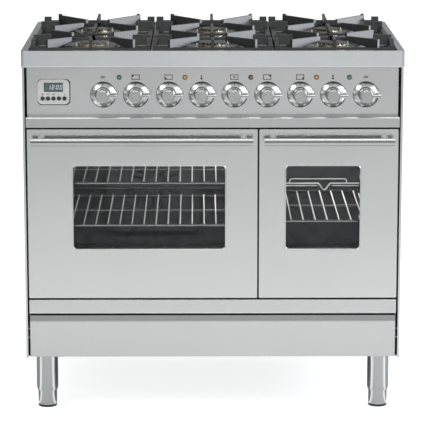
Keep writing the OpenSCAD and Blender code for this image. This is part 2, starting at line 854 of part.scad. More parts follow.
// Turning knob with a domed skirt, a round grip and one wing, off at rest
module knob(i) {
    play = 0.5;
    rim_h = 4.5;
    point_r = 2;
    point = wing_reach - point_r;
    lean = acos((skirt_dia / 2 - point_r) / point);
    shaft_in = 24;
    dome_r = 18;
    dome_in = skirt_dia / 2 - dome_r + 2;
    color("gainsboro") at_rest()
        on_panel(knob_first_x + (i - 1) * knob_pitch, panel_set, knob_z) {
            difference() {
                union() {
                    translate([0, 0, play]) rotate_extrude() {
                        square([dome_in, skirt_h - play]);
                        intersection() {
                            translate([dome_in, skirt_h - play - dome_r]) circle(dome_r);
                            square([skirt_dia / 2, skirt_h]);
                        }
                    }
                    translate([0, 0, play]) linear_extrude(rim_h - play) {
                        polygon([[0, 0], [skirt_dia / 2 * cos(lean), skirt_dia / 2 * sin(lean)],
                            [point + point_r * cos(lean), point_r * sin(lean)],
                            [point + point_r * cos(lean), -point_r * sin(lean)],
                            [skirt_dia / 2 * cos(lean), -skirt_dia / 2 * sin(lean)]]);
                        translate([point, 0]) circle(point_r);
                    }
                    translate([0, 0, skirt_h - 1])
                        cylinder(d1 = grip_dia, d2 = face_dia + 1.6, h = knob_reach - skirt_h);
                    translate([0, 0, knob_reach - 1 - eps])
                        cylinder(d1 = face_dia + 1.6, d2 = face_dia, h = 1 + eps);
                    intersection() {
                        linear_extrude(knob_reach) {
                            translate([0, -wing_w / 2]) square([wing_reach - wing_w / 2, wing_w]);
                            translate([wing_reach - wing_w / 2, 0]) circle(d = wing_w);
                        }
                        rotate([90, 0, 0]) translate([0, 0, -wing_w]) linear_extrude(2 * wing_w)
                            polygon([[0, 2], [wing_reach, 2], [wing_reach, knob_reach - 9],
                                [face_dia / 2, knob_reach - 2], [0, knob_reach - 2]]);
                    }
                }
                translate([0, 0, -1]) cylinder(d = spindle_dia + 0.2, h = shaft_in + 1);
            }
            translate([0, 0, -22]) difference() {
                cylinder(d = spindle_dia, h = 22 + shaft_in);
                translate([-spindle_dia, spindle_dia / 2 - 1.5, 26])
                    cube([2 * spindle_dia, spindle_dia, shaft_in]);
            }
        }
}

// Worktop and hob

module slab_outline(inset) {
    round_box(-body_w / 2 + inset, body_w / 2 - inset, inset, body_d - inset, slab_r - inset);
}

module hob_opening(grow) {
    rect(-hob_x - grow, hob_x + grow, hob_front - grow, hob_rear + grow);
}

module worktop() {
    color("silver") at_rest() {
        difference() {
            translate([0, 0, slab_z]) linear_extrude(slab_t) slab_outline(0);
            translate([0, 0, slab_z - 1]) linear_extrude(slab_t - slab_sheet + 1)
                slab_outline(slab_sheet);
            translate([0, 0, slab_z]) linear_extrude(slab_t + 1) hob_opening(0);
        }
        translate([0, 0, tray_z]) linear_extrude(tray_drop - slab_sheet + eps) difference() {
            hob_opening(1.5);
            hob_opening(0);
        }
    }
}

burner_places = [for (x = [-1, 0, 1], d = [burner_front_d, burner_rear_d]) [x * grate_pitch, d]];
body_r = cap_dia / 2 + 3;

module hob_tray() {
    color("black") at_rest() difference() {
        translate([0, 0, tray_z - tray_t]) linear_extrude(tray_t) hob_opening(2.8);
        for (p = burner_places) {
            translate([p[0], p[1], tray_z - 5]) cylinder(r = body_r, h = 10);
            for (a = [22.5, 202.5]) translate([p[0], p[1], tray_z - 5])
                rotate([0, 0, a]) translate([probe_r, 0, 0])
                    cylinder(d = probe_dia + 2 * fit, h = 10);
        }
    }
}

module burner_body(p) {
    flange_r = ring_dia / 2 + 3;
    translate([p[0], p[1], tray_z]) rotate_extrude() difference() {
        union() {
            square([flange_r, base_h]);
            translate([0, -burner_deep]) square([body_r - fit, burner_deep + eps]);
        }
        translate([-1, 4 - burner_deep]) square([body_r - 4, burner_deep + 10]);
    }
}

module burner_bodies() {
    wide = burner_places[0];
    color("gray") at_rest() {
        for (p = burner_places) burner_body(p);
        translate([wide[0], wide[1], tray_z]) rotate_extrude() difference() {
            translate([probe_r + 4, 0]) square([dish_dia / 2 - probe_r - 4, 4]);
            translate([dish_dia / 2 - 8, 10]) circle(8.6);
            translate([probe_r, 1.4]) square([dish_dia / 2 - probe_r - 8, 4]);
        }
    }
}

// Brass ring with a slot for every flame
module flame_ring(p) {
    wall = 5;
    port_w = 2.2;
    port_h = 3.5;
    translate([p[0], p[1], tray_z + base_h]) difference() {
        cylinder(d = ring_dia, h = ring_h);
        translate([0, 0, -1]) cylinder(d = ring_dia - 2 * wall, h = ring_h + 2);
        for (i = [0:ring_ports - 1]) rotate([0, 0, (i + 0.5) * 360 / ring_ports])
            translate([0, -port_w / 2, ring_h - port_h]) cube([ring_dia, port_w, port_h + 1]);
    }
}

module flame_rings() { color("goldenrod") at_rest() for (p = burner_places) flame_ring(p); }

module burner_caps() {
    dome = 160;
    color("dimgray") at_rest() for (p = burner_places)
        translate([p[0], p[1], cap_z]) rotate_extrude() {
            intersection() {
                translate([0, cap_h - dome]) circle(dome, $fn = 360);
                square([cap_dia / 2, cap_h]);
            }
            translate([0, -3]) square([ring_dia / 2 - 5 - fit, 3 + eps]);
        }
}

module ignition_probes() {
    color("ivory") at_rest() for (p = burner_places, a = [22.5, 202.5])
        translate([p[0], p[1], tray_z - 20]) rotate([0, 0, a]) translate([probe_r, 0, 0]) {
            cylinder(d = probe_dia, h = 26);
            cylinder(d = 2, h = 29);
        }
}

// Pan supports

// Straight blade from a foot to a tip, standing on edge, with a nib over its foot
module blade(foot, tip, low, nib = 0) {
    run = tip - foot;
    len = norm(run);
    foot_len = min(16, len / 3);
    nib_r = 3.5;
    translate([foot[0], foot[1], 0]) rotate([0, 0, atan2(run[1], run[0])])
        rotate([90, 0, 0]) translate([0, 0, -finger_t / 2]) linear_extrude(finger_t) {
            polygon([[0, low], [0, finger_top], [len, finger_top], [len, finger_top - tip_h],
                [foot_len, low]]);
            if (nib > 0) {
                translate([nib_r, finger_top + nib - nib_r]) circle(nib_r);
                translate([0, finger_top - nib_r]) square([2 * nib_r, nib]);
            }
        }
}

// Point on the line from a burner to an outer point, at radius r
function toward(c, p, r) = c + (p - c) * r / norm(p - c);

module burner_fingers(c, bar_front, bar_rear, free_r, nib) {
    side = grate_w / 2;
    low = tray_z + foot_rise;
    for (s = [-1, 1], d = [bar_front, bar_rear]) {
        foot = [c[0] + s * (side - foot_in), d];
        blade(foot, toward(c, foot, free_r), low, d == bar_rear ? nib : 0);
    }
    for (s = [-1, 1])
        translate([c[0] + s * (side - 1 - rib_len / 2), c[1], (low + finger_top) / 2])
            cube([rib_len, finger_t, finger_top - low], center = true);
}

module grate(x, wide) {
    x0 = x - grate_w / 2;
    x1 = x + grate_w / 2;
    low = tray_z + foot_rise;
    side_top = work_h + bar_rise;
    front_top = work_h + front_bar_rise;
    hump_top = work_h + hump_rise;
    reach = grate_w / 2 - foot_in;
    cross_front = burner_front_d + reach - 6;
    cross_rear = burner_rear_d - reach + 6;
    bar_c = bar_w / 2;
    hump_d = grate_front + 50;
    front_free = wide ? wide_free_r : finger_free_r;
    for (s = [x0, x1 - bar_w]) across(s, s + bar_w)
        polygon([[grate_front, low], [grate_front, front_top], [grate_front + bar_w, front_top],
            [hump_d, hump_top], [hump_d + 22, hump_top], [burner_front_d - 5, side_top],
            [grate_rear, side_top], [grate_rear, low]]);
    translate([x0, grate_front, low]) cube([grate_w, bar_w, front_top - low]);
    translate([x0, grate_rear - bar_w, low]) cube([grate_w, bar_w, side_top - low]);
    for (d = [cross_front, cross_rear])
        translate([x0, d - bar_c, low]) cube([grate_w, bar_w, front_top - low]);
    for (s = [x0, x1 - tab_w])
        translate([s, grate_rear - bar_w, low]) cube([tab_w, bar_w, tab_rise + work_h - low]);
    for (s = [0, 1]) translate([x, 0, 0]) mirror([s, 0, 0])
        facing(grate_front, bar_w) polygon([[-grate_w / 2, low], [-grate_w / 2, work_h + gusset_h],
            [bar_w - grate_w / 2, work_h + gusset_h], [3 * bar_w - grate_w / 2, low]]);
    burner_fingers([x, burner_front_d], grate_front + bar_c, cross_front, front_free, 0);
    burner_fingers([x, burner_rear_d], cross_rear, grate_rear - bar_c, finger_free_r, nib_h);
    blade([x, grate_front + bar_c], [x, burner_front_d - front_free], low);
    blade([x, grate_rear - bar_c], [x, burner_rear_d + finger_free_r], low, nib_h);
    blade([x, cross_front + 8], [x, burner_front_d + front_free], low);
    blade([x, cross_front], [x, burner_rear_d - finger_free_r], low);
    for (s = [x0 + bar_c, x1 - bar_c], d = [grate_front + 20, (cross_front + cross_rear) / 2,
        grate_rear - 20]) translate([s, d, tray_z]) cylinder(d = bar_w - 1, h = foot_rise + 1);
}

module grate_left() { color("black") at_rest() grate(-grate_pitch, true); }

module grate_middle() { color("black") at_rest() grate(0, false); }

module grate_right() { color("black") at_rest() grate(grate_pitch, false); }

// Doors

module notches(door, depth0, depth1, z1) {
    for (x = hinge_places(door))
        translate([x - arm_t / 2 - 1, depth0, door_z - 1])
            cube([arm_t + 2, depth1 - depth0, z1 - door_z + 1]);
}

// Section of a rolled edge, at distance r from the axis of its corner
module roll_section(r) {
    translate([r, 0]) difference() {
        translate([roll_r, roll_r]) circle(roll_r);
        translate([roll_r, roll_r]) circle(roll_r - sheet);
        translate([roll_r, -1]) square([roll_r + 1, 2 * roll_r + 2]);
        translate([-1, roll_r]) square([roll_r + 2, roll_r + 1]);
    }
}

// Rolled edge round a window, from the skin's front face backwards
module rolled_edge(win) {
    z0 = door_z + win_up;
    z1 = z0 + win_h;
    mid = [(win[0] + win[1]) / 2, (z0 + z1) / 2];
    half = [(win[1] - win[0]) / 2 - win_r, win_h / 2 - win_r];
    translate([mid[0], door_set, mid[1]]) for (s = [0, 1]) {
        mirror([s, 0, 0]) translate([half[0], 0, -half[1]]) linear_extrude(2 * half[1])
            roll_section(win_r);
        mirror([0, 0, s]) rotate([0, -90, 0]) translate([half[1], 0, -half[0]])
            linear_extrude(2 * half[0]) roll_section(win_r);
        for (t = [0, 1]) mirror([s, 0, 0]) mirror([0, 0, t])
            translate([half[0], 0, half[1]]) rotate([-90, 0, 0]) mirror([0, 1, 0])
                rotate_extrude(angle = 90) roll_section(win_r);
    }
}

module door_skin(door, win) {
    corner = 3;
    back = door_back - sheet;
    grow = roll_r - 0.3;
    difference() {
        facing(door_set, back - door_set) round_box(door[0], door[1], door_z, door_top, corner);
        facing(door_set + sheet, door_t)
            round_box(door[0] + sheet, door[1] - sheet, door_z + sheet, door_top - sheet,
                corner - sheet);
        facing(door_set - 1, door_t)
            round_box(win[0] - grow, win[1] + grow, door_z + win_up - grow,
                door_z + win_up + win_h + grow, win_r + grow);
        notches(door, door_set + sheet + 0.3, door_back + 1, door_z + 4);
    }
    rolled_edge(win);
}

module door_inner(door, win) {
    corner = 3;
    grow = 14;
    difference() {
        facing(door_back - sheet, sheet) difference() {
            round_box(door[0], door[1], door_z, door_top, corner);
            round_box(win[0] - grow, win[1] + grow, door_z + win_up - grow,
                door_z + win_up + win_h + grow, win_r);
        }
        notches(door, door_set + 10, door_back + 1, hinge_z + arm_h / 2 + 2);
    }
}

module door_glazing(win) {
    edge = 22;
    for (d = [door_set + roll_r, door_back - sheet - glass_t])
        facing(d, glass_t) rect(win[0] - edge, win[1] + edge, door_z + win_up - edge,
            door_z + win_up + win_h + edge);
}

module door_handle(door) {
    x0 = door[0] + handle_margin;
    x1 = door[1] - handle_margin;
    z = door_z + handle_up;
    edge = 3;
    groove_down = 6.5;
    groove_r = 1.2;
    across(x0, x1) difference() {
        round_box(-handle_reach, -handle_reach + handle_t, z - handle_h / 2,
            z + handle_h / 2, edge);
        translate([-handle_reach, z + handle_h / 2 - groove_down]) circle(groove_r);
    }
    for (x = [x0 + standoff_in, x1 - standoff_in])
        on_panel(x, door_set, z)
            cylinder(d = min(standoff_dia, handle_h + 3.5),
                h = handle_reach - handle_t + door_set + edge);
}

module door_hinges(door) {
    strap = 92;
    gap = 0.5;
    play = 0.3;
    web_up = 34;
    web_t = 3;
    for (x = hinge_places(door)) {
        for (s = [-1, 1])
            translate([s > 0 ? x + arm_t / 2 + gap : x - arm_t / 2 - gap - cheek_t,
                door_set + sheet + play, door_z + sheet + play])
                cube([cheek_t, door_t - 2 * sheet - 2 * play, strap]);
        translate([x - arm_t / 2 - gap - cheek_t, door_set + sheet + play, door_z + web_up])
            cube([arm_t + 2 * gap + 2 * cheek_t, web_t, strap - web_up - 6]);
        translate([x - arm_t / 2 - gap - cheek_t, hinge_d, hinge_z]) rotate([0, 90, 0])
            cylinder(d = hinge_pin, h = arm_t + 2 * gap + 2 * cheek_t);
    }
}

module door_left_skin() { color("silver") at_rest() door_skin(left_door, left_win); }

module door_left_inner() { color("dimgray") at_rest() door_inner(left_door, left_win); }

module door_left_glazing() { color([0.2, 0.25, 0.25, 0.5]) at_rest() door_glazing(left_win); }

module door_left_handle() { color("gainsboro") at_rest() door_handle(left_door); }

module door_left_hinges() { color("gray") at_rest() door_hinges(left_door); }

module door_right_skin() { color("silver") at_rest() door_skin(right_door, right_win); }

module door_right_inner() { color("dimgray") at_rest() door_inner(right_door, right_win); }

module door_right_glazing() { color([0.2, 0.25, 0.25, 0.5]) at_rest() door_glazing(right_win); }

module door_right_handle() { color("gainsboro") at_rest() door_handle(right_door); }

module door_right_hinges() { color("gray") at_rest() door_hinges(right_door); }

// Drawer

module drawer_front() {
    lip_back = door_set + lip_set;
    hem = 5;
    lip_z = drawer_top - lip_h;
    color("silver") at_rest() {
        across(-drawer_x, drawer_x) {
            rect(lip_back, lip_back + sheet, leg_h, drawer_top);
            rect(door_set, lip_back + sheet, drawer_top - sheet, drawer_top);
            rect(door_set, door_set + sheet, lip_z, drawer_top);
            rect(door_set, door_set + hem, lip_z, lip_z + sheet);
        }
        for (x = [-drawer_x, drawer_x - sheet])
            translate([x, door_set, lip_z]) cube([sheet, lip_set + sheet, lip_h]);
    }
}

module drawer_box() {
    d0 = door_set + lip_set + sheet;
    wall = 1.5;
    runner_w = 24;
    color("dimgray") at_rest() {
        difference() {
            translate([-box_x, d0, box_z]) cube([2 * box_x, drawer_d, box_h]);
            translate([-box_x + wall, d0 + wall, box_z + wall])
                cube([2 * (box_x - wall), drawer_d - 2 * wall, box_h]);
        }
        for (s = [0, 1]) mirror([s, 0, 0])
            translate([-box_x - runner_w, side_set + side_fold + 4, rail_z + rail_t + fit])
                for (z = [0, rail_h - 2 * rail_t - 2 * fit - wall])
                    translate([0, 0, z]) cube([runner_w + eps, drawer_d - 20, wall]);
    }
}

// Legs and feet

module leg_tube(x, d) {
    shoulder = 8;
    bore = foot_dia / 2 + fit;
    translate([x, d, 0]) rotate_extrude() difference() {
        polygon([[0, foot_h], [bore + 1.2, foot_h], [leg_dia / 2, foot_h + shoulder],
            [leg_dia / 2, leg_h], [0, leg_h]]);
        translate([-1, foot_h - 1]) square([bore + 1, leg_h - foot_h - 4]);
    }
}

module leg_tubes() {
    color("silver") at_rest()
        for (x = [-leg_x, leg_x], d = [leg_front_d, leg_rear_d]) leg_tube(x, d);
}

module foot(x, d) {
    top = leg_h - 8;
    wall = 3;
    color("gainsboro") at_rest() translate([x, d, 0]) rotate_extrude() difference() {
        union() {
            square([foot_dia / 2 - 1, pad_h]);
            translate([0, pad_h]) square([foot_dia / 2, top - pad_h]);
        }
        translate([-1, pad_h + wall]) square([foot_dia / 2 - wall + 1, top]);
    }
}

side_panels();
back_panel();
base_tray();
front_frame();
oven_liner_left();
oven_liner_right();
shelf_guides();
control_panel();
front_ledge();
worktop();
hob_tray();
burner_bodies();
flame_rings();
burner_caps();
ignition_probes();
control_valves();
indicator_lamps();
clock_case();
clock_display();
fan_cover();
fan_motor();
fan();
oven_lamps();
grill_elements();
wire_shelves();
leg_tubes();
foot(-leg_x, leg_front_d);  // foot_front_left
foot(leg_x, leg_front_d);  // foot_front_right
foot(-leg_x, leg_rear_d);  // foot_rear_left
foot(leg_x, leg_rear_d);  // foot_rear_right
drawer_front();
drawer_box();
door_seals();
door_left_skin();
door_left_inner();
door_left_glazing();
door_left_handle();
door_left_hinges();
door_right_skin();
door_right_inner();
door_right_glazing();
door_right_handle();
door_right_hinges();
knob(1);  // knob_1
knob(2);  // knob_2
knob(3);  // knob_3
knob(4);  // knob_4
knob(5);  // knob_5
knob(6);  // knob_6
knob(7);  // knob_7
knob(8);  // knob_8
knob(9);  // knob_9
clock_button(1);  // clock_button_1
clock_button(2);  // clock_button_2
clock_button(3);  // clock_button_3
clock_button(4);  // clock_button_4
clock_button(5);  // clock_button_5
grate_left();
grate_middle();
grate_right();
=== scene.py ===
"""Looks of the range cooker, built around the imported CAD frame. Metres, +Z up, the front faces -Y."""
import math

import bmesh
import bpy
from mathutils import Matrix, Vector


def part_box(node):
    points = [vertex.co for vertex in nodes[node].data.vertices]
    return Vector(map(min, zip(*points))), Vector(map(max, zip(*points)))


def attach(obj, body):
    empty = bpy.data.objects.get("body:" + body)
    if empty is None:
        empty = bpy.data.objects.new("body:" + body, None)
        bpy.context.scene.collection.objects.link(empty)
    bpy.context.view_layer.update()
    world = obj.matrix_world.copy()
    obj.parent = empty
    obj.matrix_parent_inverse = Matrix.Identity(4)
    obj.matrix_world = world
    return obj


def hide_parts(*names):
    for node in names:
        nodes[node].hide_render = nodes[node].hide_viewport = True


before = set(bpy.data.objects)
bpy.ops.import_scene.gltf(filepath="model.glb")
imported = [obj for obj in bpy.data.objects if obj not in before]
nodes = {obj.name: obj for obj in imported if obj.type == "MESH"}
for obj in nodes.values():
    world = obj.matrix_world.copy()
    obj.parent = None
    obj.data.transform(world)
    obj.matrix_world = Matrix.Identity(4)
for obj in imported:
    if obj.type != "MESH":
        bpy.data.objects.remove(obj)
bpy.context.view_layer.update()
scene = bpy.context.scene


# ---- materials -------------------------------------------------------------------------------

class Mat:
    """A node material with helpers for object-space textures."""

    def __init__(self, name, color, metallic=0.0, rough=0.4, **sockets):
        self.m = bpy.data.materials.new(name)
        self.m.use_nodes = True
        self.n = self.m.node_tree.nodes
        self.l = self.m.node_tree.links
        self.b = self.n["Principled BSDF"]
        self.put("Base Color", (*color, 1.0))
        self.put("Metallic", metallic)
        self.put("Roughness", rough)
        for key, value in sockets.items():
            self.put(key.replace("_", " "), value)
        self.coord = None
        self.normal = None

    def put(self, socket, value):
        self.b.inputs[socket].default_value = value

    def link(self, a, b):
        self.l.new(a, b)

    def node(self, kind, **values):
        made = self.n.new(kind)
        for key, value in values.items():
            setattr(made, key, value)
        return made

    def space(self, scale=(1, 1, 1), turn=(0, 0, 0)):
        if self.coord is None:
            self.coord = self.node("ShaderNodeTexCoord")
        mapping = self.node("ShaderNodeMapping")
        mapping.inputs["Scale"].default_value = scale
        mapping.inputs["Rotation"].default_value = turn
        self.link(self.coord.outputs["Object"], mapping.inputs["Vector"])
        return mapping.outputs["Vector"]

    def noise(self, scale, stretch=(1, 1, 1), detail=3.0):
        tex = self.node("ShaderNodeTexNoise")
        tex.inputs["Scale"].default_value = scale
        tex.inputs["Detail"].default_value = detail
        self.link(self.space(stretch), tex.inputs["Vector"])
        return tex.outputs["Fac"]

    def ranged(self, value, low, high, from_low=0.3, from_high=0.7):
        node = self.node("ShaderNodeMapRange")
        node.inputs["From Min"].default_value = from_low
        node.inputs["From Max"].default_value = from_high
        node.inputs["To Min"].default_value = low
        node.inputs["To Max"].default_value = high
        self.link(value, node.inputs["Value"])
        return node.outputs["Result"]

    def blend(self, value, a, b, from_low=0.3, from_high=0.7):
        ramp = self.node("ShaderNodeValToRGB")
        ramp.color_ramp.elements[0].position = from_low
        ramp.color_ramp.elements[0].color = (*a, 1.0)
        ramp.color_ramp.elements[1].position = from_high
        ramp.color_ramp.elements[1].color = (*b, 1.0)
        self.link(value, ramp.inputs["Fac"])
        return ramp.outputs["Color"]

    def color_by(self, value, a, b, from_low=0.3, from_high=0.7):
        self.link(self.blend(value, a, b, from_low, from_high), self.b.inputs["Base Color"])
        return self

    def rough_by(self, value, low, high, from_low=0.3, from_high=0.7):
        self.link(self.ranged(value, low, high, from_low, from_high), self.b.inputs["Roughness"])
        return self

    def soften(self, radius):
        """Rounds the shading of sharp edges."""
        node = self.node("ShaderNodeBevel", samples=4)
        node.inputs["Radius"].default_value = radius
        self.normal = node.outputs["Normal"]
        self.link(self.normal, self.b.inputs["Normal"])
        return self

    def draft(self, up):
        """Leans the shading of upright faces back a little, as the faces of a casting lean."""
        place = self.node("ShaderNodeNewGeometry")
        lean = self.node("ShaderNodeVectorMath", operation="ADD")
        lean.inputs[1].default_value = (0.0, 0.0, up)
        self.link(place.outputs["Normal"], lean.inputs[0])
        unit = self.node("ShaderNodeVectorMath", operation="NORMALIZE")
        self.link(lean.outputs["Vector"], unit.inputs[0])
        self.normal = unit.outputs["Vector"]
        self.link(self.normal, self.b.inputs["Normal"])
        self.link(self.normal, self.b.inputs["Coat Normal"])
        return self

    def bump(self, value, depth, strength=1.0):
        node = self.node("ShaderNodeBump")
        node.inputs["Distance"].default_value = depth
        node.inputs["Strength"].default_value = strength
        self.link(value, node.inputs["Height"])
        if self.normal is not None:
            self.link(self.normal, node.inputs["Normal"])
        self.normal = node.outputs["Normal"]
        self.link(self.normal, self.b.inputs["Normal"])
        return self


LINE_DEPTH = 0.000008
CLOUD_TINT = 0.012
CLOUD_ROUGH = 0.03


def brushed(name, color, rough, along=(1, 1, 1), edge=0.0012):
    """Brushed metal: fine lines along the axis whose stretch is small, plus faint clouding."""
    made = Mat(name, color, 1.0, rough)
    if edge:
        made.soften(edge)
    lines = made.noise(LINES, along, 2.0)
    cloud = made.noise(5.0, (1, 1, 1), 2.0)
    dark = tuple(c - CLOUD_TINT for c in color)
    light = tuple(c + CLOUD_TINT for c in color)
    made.color_by(cloud, dark, light, 0.35, 0.65)
    made.rough_by(cloud, rough - CLOUD_ROUGH, rough + CLOUD_ROUGH)
    made.bump(lines, LINE_DEPTH, 0.5)
    return made


ALONG_X = (0.02, 1.0, 1.0)
LINES = 2200.0

steel_panel = brushed("panel_steel", (0.60, 0.605, 0.605), 0.22, ALONG_X)
steel_ledge = brushed("ledge_steel", (0.53, 0.535, 0.535), 0.16, ALONG_X)
steel_door = brushed("door_steel", (0.585, 0.59, 0.585), 0.18, ALONG_X)
steel_slab = brushed("slab_steel", (0.70, 0.73, 0.745), 0.26, ALONG_X, edge=0)
steel_drawer = brushed("drawer_steel", (0.56, 0.565, 0.56), 0.24, ALONG_X)
steel_handle = brushed("handle_steel", (0.56, 0.565, 0.565), 0.15, ALONG_X, edge=0)
steel_leg = brushed("leg_steel", (0.46, 0.465, 0.465), 0.09, ALONG_X, edge=0)

# Painted shadow: the drawer's panel is darker in a strip under its lip, where the lip shades it
LIP_SHADOW_LOW, LIP_SHADOW_HIGH = (0.2185, 0.2225), (0.2405, 0.2425)
height = steel_drawer.node("ShaderNodeSeparateXYZ")
steel_drawer.link(steel_drawer.space(), height.inputs["Vector"])
below = steel_drawer.ranged(height.outputs["Z"], 0.0, 1.0, *LIP_SHADOW_LOW)
above = steel_drawer.ranged(height.outputs["Z"], 1.0, 0.0, *LIP_SHADOW_HIGH)
lip_shadow_band = steel_drawer.node("ShaderNodeMath", operation="MULTIPLY")
steel_drawer.link(below, lip_shadow_band.inputs[0])
steel_drawer.link(above, lip_shadow_band.inputs[1])
# Multiplies the painted shadow into the drawer steel's colour
shade = steel_drawer.node("ShaderNodeMix", data_type="RGBA", blend_type="MULTIPLY")
steel_drawer.link(lip_shadow_band.outputs["Value"], shade.inputs["Factor"])
steel_drawer.link(steel_drawer.b.inputs["Base Color"].links[0].from_socket, shade.inputs["A"])
shade.inputs["B"].default_value = (0.52, 0.52, 0.53, 1.0)
steel_drawer.link(shade.outputs["Result"], steel_drawer.b.inputs["Base Color"])

steel_side = Mat("side_paint", (0.60, 0.61, 0.615), 0.85, 0.42)
steel_side.rough_by(steel_side.noise(300.0), 0.38, 0.48).bump(steel_side.noise(700.0), 0.00002, 0.4)
steel_side.color_by(steel_side.noise(4.0), (0.57, 0.58, 0.585), (0.63, 0.64, 0.645))

zinc = Mat("zinc_sheet", (0.55, 0.57, 0.59), 0.9, 0.45)
spangle = zinc.node("ShaderNodeTexVoronoi")
spangle.inputs["Scale"].default_value = 45.0
zinc.link(zinc.space(), spangle.inputs["Vector"])
zinc.color_by(spangle.outputs["Color"], (0.46, 0.48, 0.50), (0.62, 0.64, 0.66), 0.1, 0.9)
zinc.rough_by(zinc.noise(80.0), 0.36, 0.55)

enamel_oven = Mat("oven_enamel", (0.05, 0.052, 0.055), 0.0, 0.30, Specular_IOR_Level=0.4)
speck = enamel_oven.noise(1400.0, (1, 1, 1), 1.0)
enamel_oven.color_by(speck, (0.045, 0.047, 0.05), (0.14, 0.145, 0.15), 0.60, 0.72)
enamel_oven.rough_by(enamel_oven.noise(30.0), 0.22, 0.36).bump(enamel_oven.noise(60.0), 0.0001, 0.3)

enamel_hob = Mat("hob_enamel", (0.008, 0.008, 0.009), 0.0, 0.12, Coat_Weight=0.4, Coat_Roughness=0.05)
enamel_hob.color_by(enamel_hob.noise(900.0, (1, 1, 1), 1.0), (0.006, 0.006, 0.007),
                    (0.03, 0.03, 0.034), 0.62, 0.75)
enamel_hob.rough_by(enamel_hob.noise(12.0), 0.08, 0.2).bump(enamel_hob.noise(25.0), 0.0003, 0.25)

iron = Mat("grate_iron", (0.010, 0.0105, 0.012), 0.0, 0.27, Specular_IOR_Level=0.4,
           Coat_Weight=0.25, Coat_Roughness=0.2)
iron.draft(0.26)
iron.color_by(iron.noise(60.0, (1, 1, 1), 4.0), (0.003, 0.0033, 0.004), (0.009, 0.0095, 0.011))
iron.rough_by(iron.noise(9.0), 0.25, 0.30).bump(iron.noise(160.0, (1, 1, 1), 2.0), 0.00002)

cap_enamel = Mat("cap_enamel", (0.015, 0.015, 0.017), 0.0, 0.3, Coat_Weight=0.3, Coat_Roughness=0.15)
cap_enamel.color_by(cap_enamel.noise(120.0), (0.010, 0.010, 0.012), (0.03, 0.03, 0.034))
cap_enamel.rough_by(cap_enamel.noise(50.0), 0.22, 0.4).bump(cap_enamel.noise(300.0), 0.0002, 0.3)

brass = Mat("ring_brass", (0.74, 0.66, 0.46), 1.0, 0.14)
brass.color_by(brass.noise(70.0), (0.62, 0.54, 0.36), (0.80, 0.74, 0.58))
brass.rough_by(brass.noise(200.0), 0.09, 0.20).bump(brass.noise(500.0), 0.00003, 0.3)

cast_alu = Mat("cast_aluminium", (0.16, 0.16, 0.16), 0.9, 0.5)
cast_alu.color_by(cast_alu.noise(40.0), (0.12, 0.12, 0.12), (0.2, 0.2, 0.2))
cast_alu.rough_by(cast_alu.noise(160.0), 0.4, 0.6).bump(cast_alu.noise(500.0), 0.0003, 0.5)

ceramic = Mat("ceramic", (0.42, 0.41, 0.38), 0.0, 0.3)
ceramic.color_by(ceramic.noise(200.0), (0.36, 0.355, 0.33), (0.48, 0.47, 0.44))
ceramic.rough_by(ceramic.noise(90.0), 0.22, 0.42)

wire = Mat("chrome_wire", (0.80, 0.80, 0.79), 1.0, 0.16)
wire.color_by(wire.noise(60.0), (0.72, 0.72, 0.71), (0.86, 0.86, 0.85))
wire.rough_by(wire.noise(240.0), 0.10, 0.26)

element = Mat("element_tube", (0.16, 0.165, 0.17), 0.8, 0.45)
element.color_by(element.noise(90.0), (0.10, 0.10, 0.105), (0.24, 0.235, 0.23))
element.rough_by(element.noise(300.0), 0.35, 0.6).bump(element.noise(500.0), 0.00008, 0.5)

glass = Mat("oven_glass", (0.014, 0.016, 0.016), 0.0, 0.02, Alpha=0.12, Specular_IOR_Level=0.5)
glass.rough_by(glass.noise(3.0), 0.01, 0.03)
glass.color_by(glass.noise(2.0), (0.012, 0.014, 0.014), (0.016, 0.018, 0.018))

bulb = Mat("lamp_glass", (0.92, 0.92, 0.90), 0.0, 0.08, Transmission_Weight=0.75, IOR=1.45)
bulb.rough_by(bulb.noise(120.0), 0.04, 0.16)

seal = Mat("seal_fibre", (0.05, 0.05, 0.052), 0.0, 0.9)
weave = seal.node("ShaderNodeTexWave")
weave.inputs["Scale"].default_value = 260.0
seal.link(seal.space((1, 1, 1), (0.6, 0.5, 0.7)), weave.inputs["Vector"])
seal.color_by(weave.outputs["Fac"], (0.03, 0.03, 0.032), (0.10, 0.10, 0.10), 0.2, 0.8)
seal.bump(weave.outputs["Fac"], 0.0004, 0.7)

clock_shell = Mat("clock_plastic", (0.60, 0.61, 0.59), 0.0, 0.42)
clock_shell.color_by(clock_shell.noise(300.0), (0.58, 0.59, 0.57), (0.63, 0.64, 0.62))
clock_shell.rough_by(clock_shell.noise(500.0), 0.36, 0.5).bump(clock_shell.noise(900.0), 0.00003, 0.4)

lcd = Mat("lcd", (0.07, 0.11, 0.12), 0.0, 0.12, Coat_Weight=0.5, Coat_Roughness=0.05)
lcd.color_by(lcd.noise(40.0), (0.06, 0.10, 0.11), (0.09, 0.13, 0.14))

black_plastic = Mat("black_plastic", (0.012, 0.012, 0.012), 0.0, 0.35)
black_plastic.rough_by(black_plastic.noise(400.0), 0.28, 0.44)
black_plastic.color_by(black_plastic.noise(60.0), (0.009, 0.009, 0.009), (0.018, 0.018, 0.018))

rubber = Mat("foot_rubber", (0.02, 0.02, 0.02), 0.0, 0.75)
rubber.color_by(rubber.noise(80.0), (0.014, 0.014, 0.014), (0.032, 0.032, 0.032))
rubber.bump(rubber.noise(300.0), 0.0001, 0.5)

chrome = Mat("knob_chrome", (0.50, 0.505, 0.505), 1.0, 0.2)
chrome.rough_by(chrome.noise(20.0), 0.18, 0.23)
chrome.color_by(chrome.noise(30.0), (0.48, 0.485, 0.485), (0.52, 0.525, 0.525))

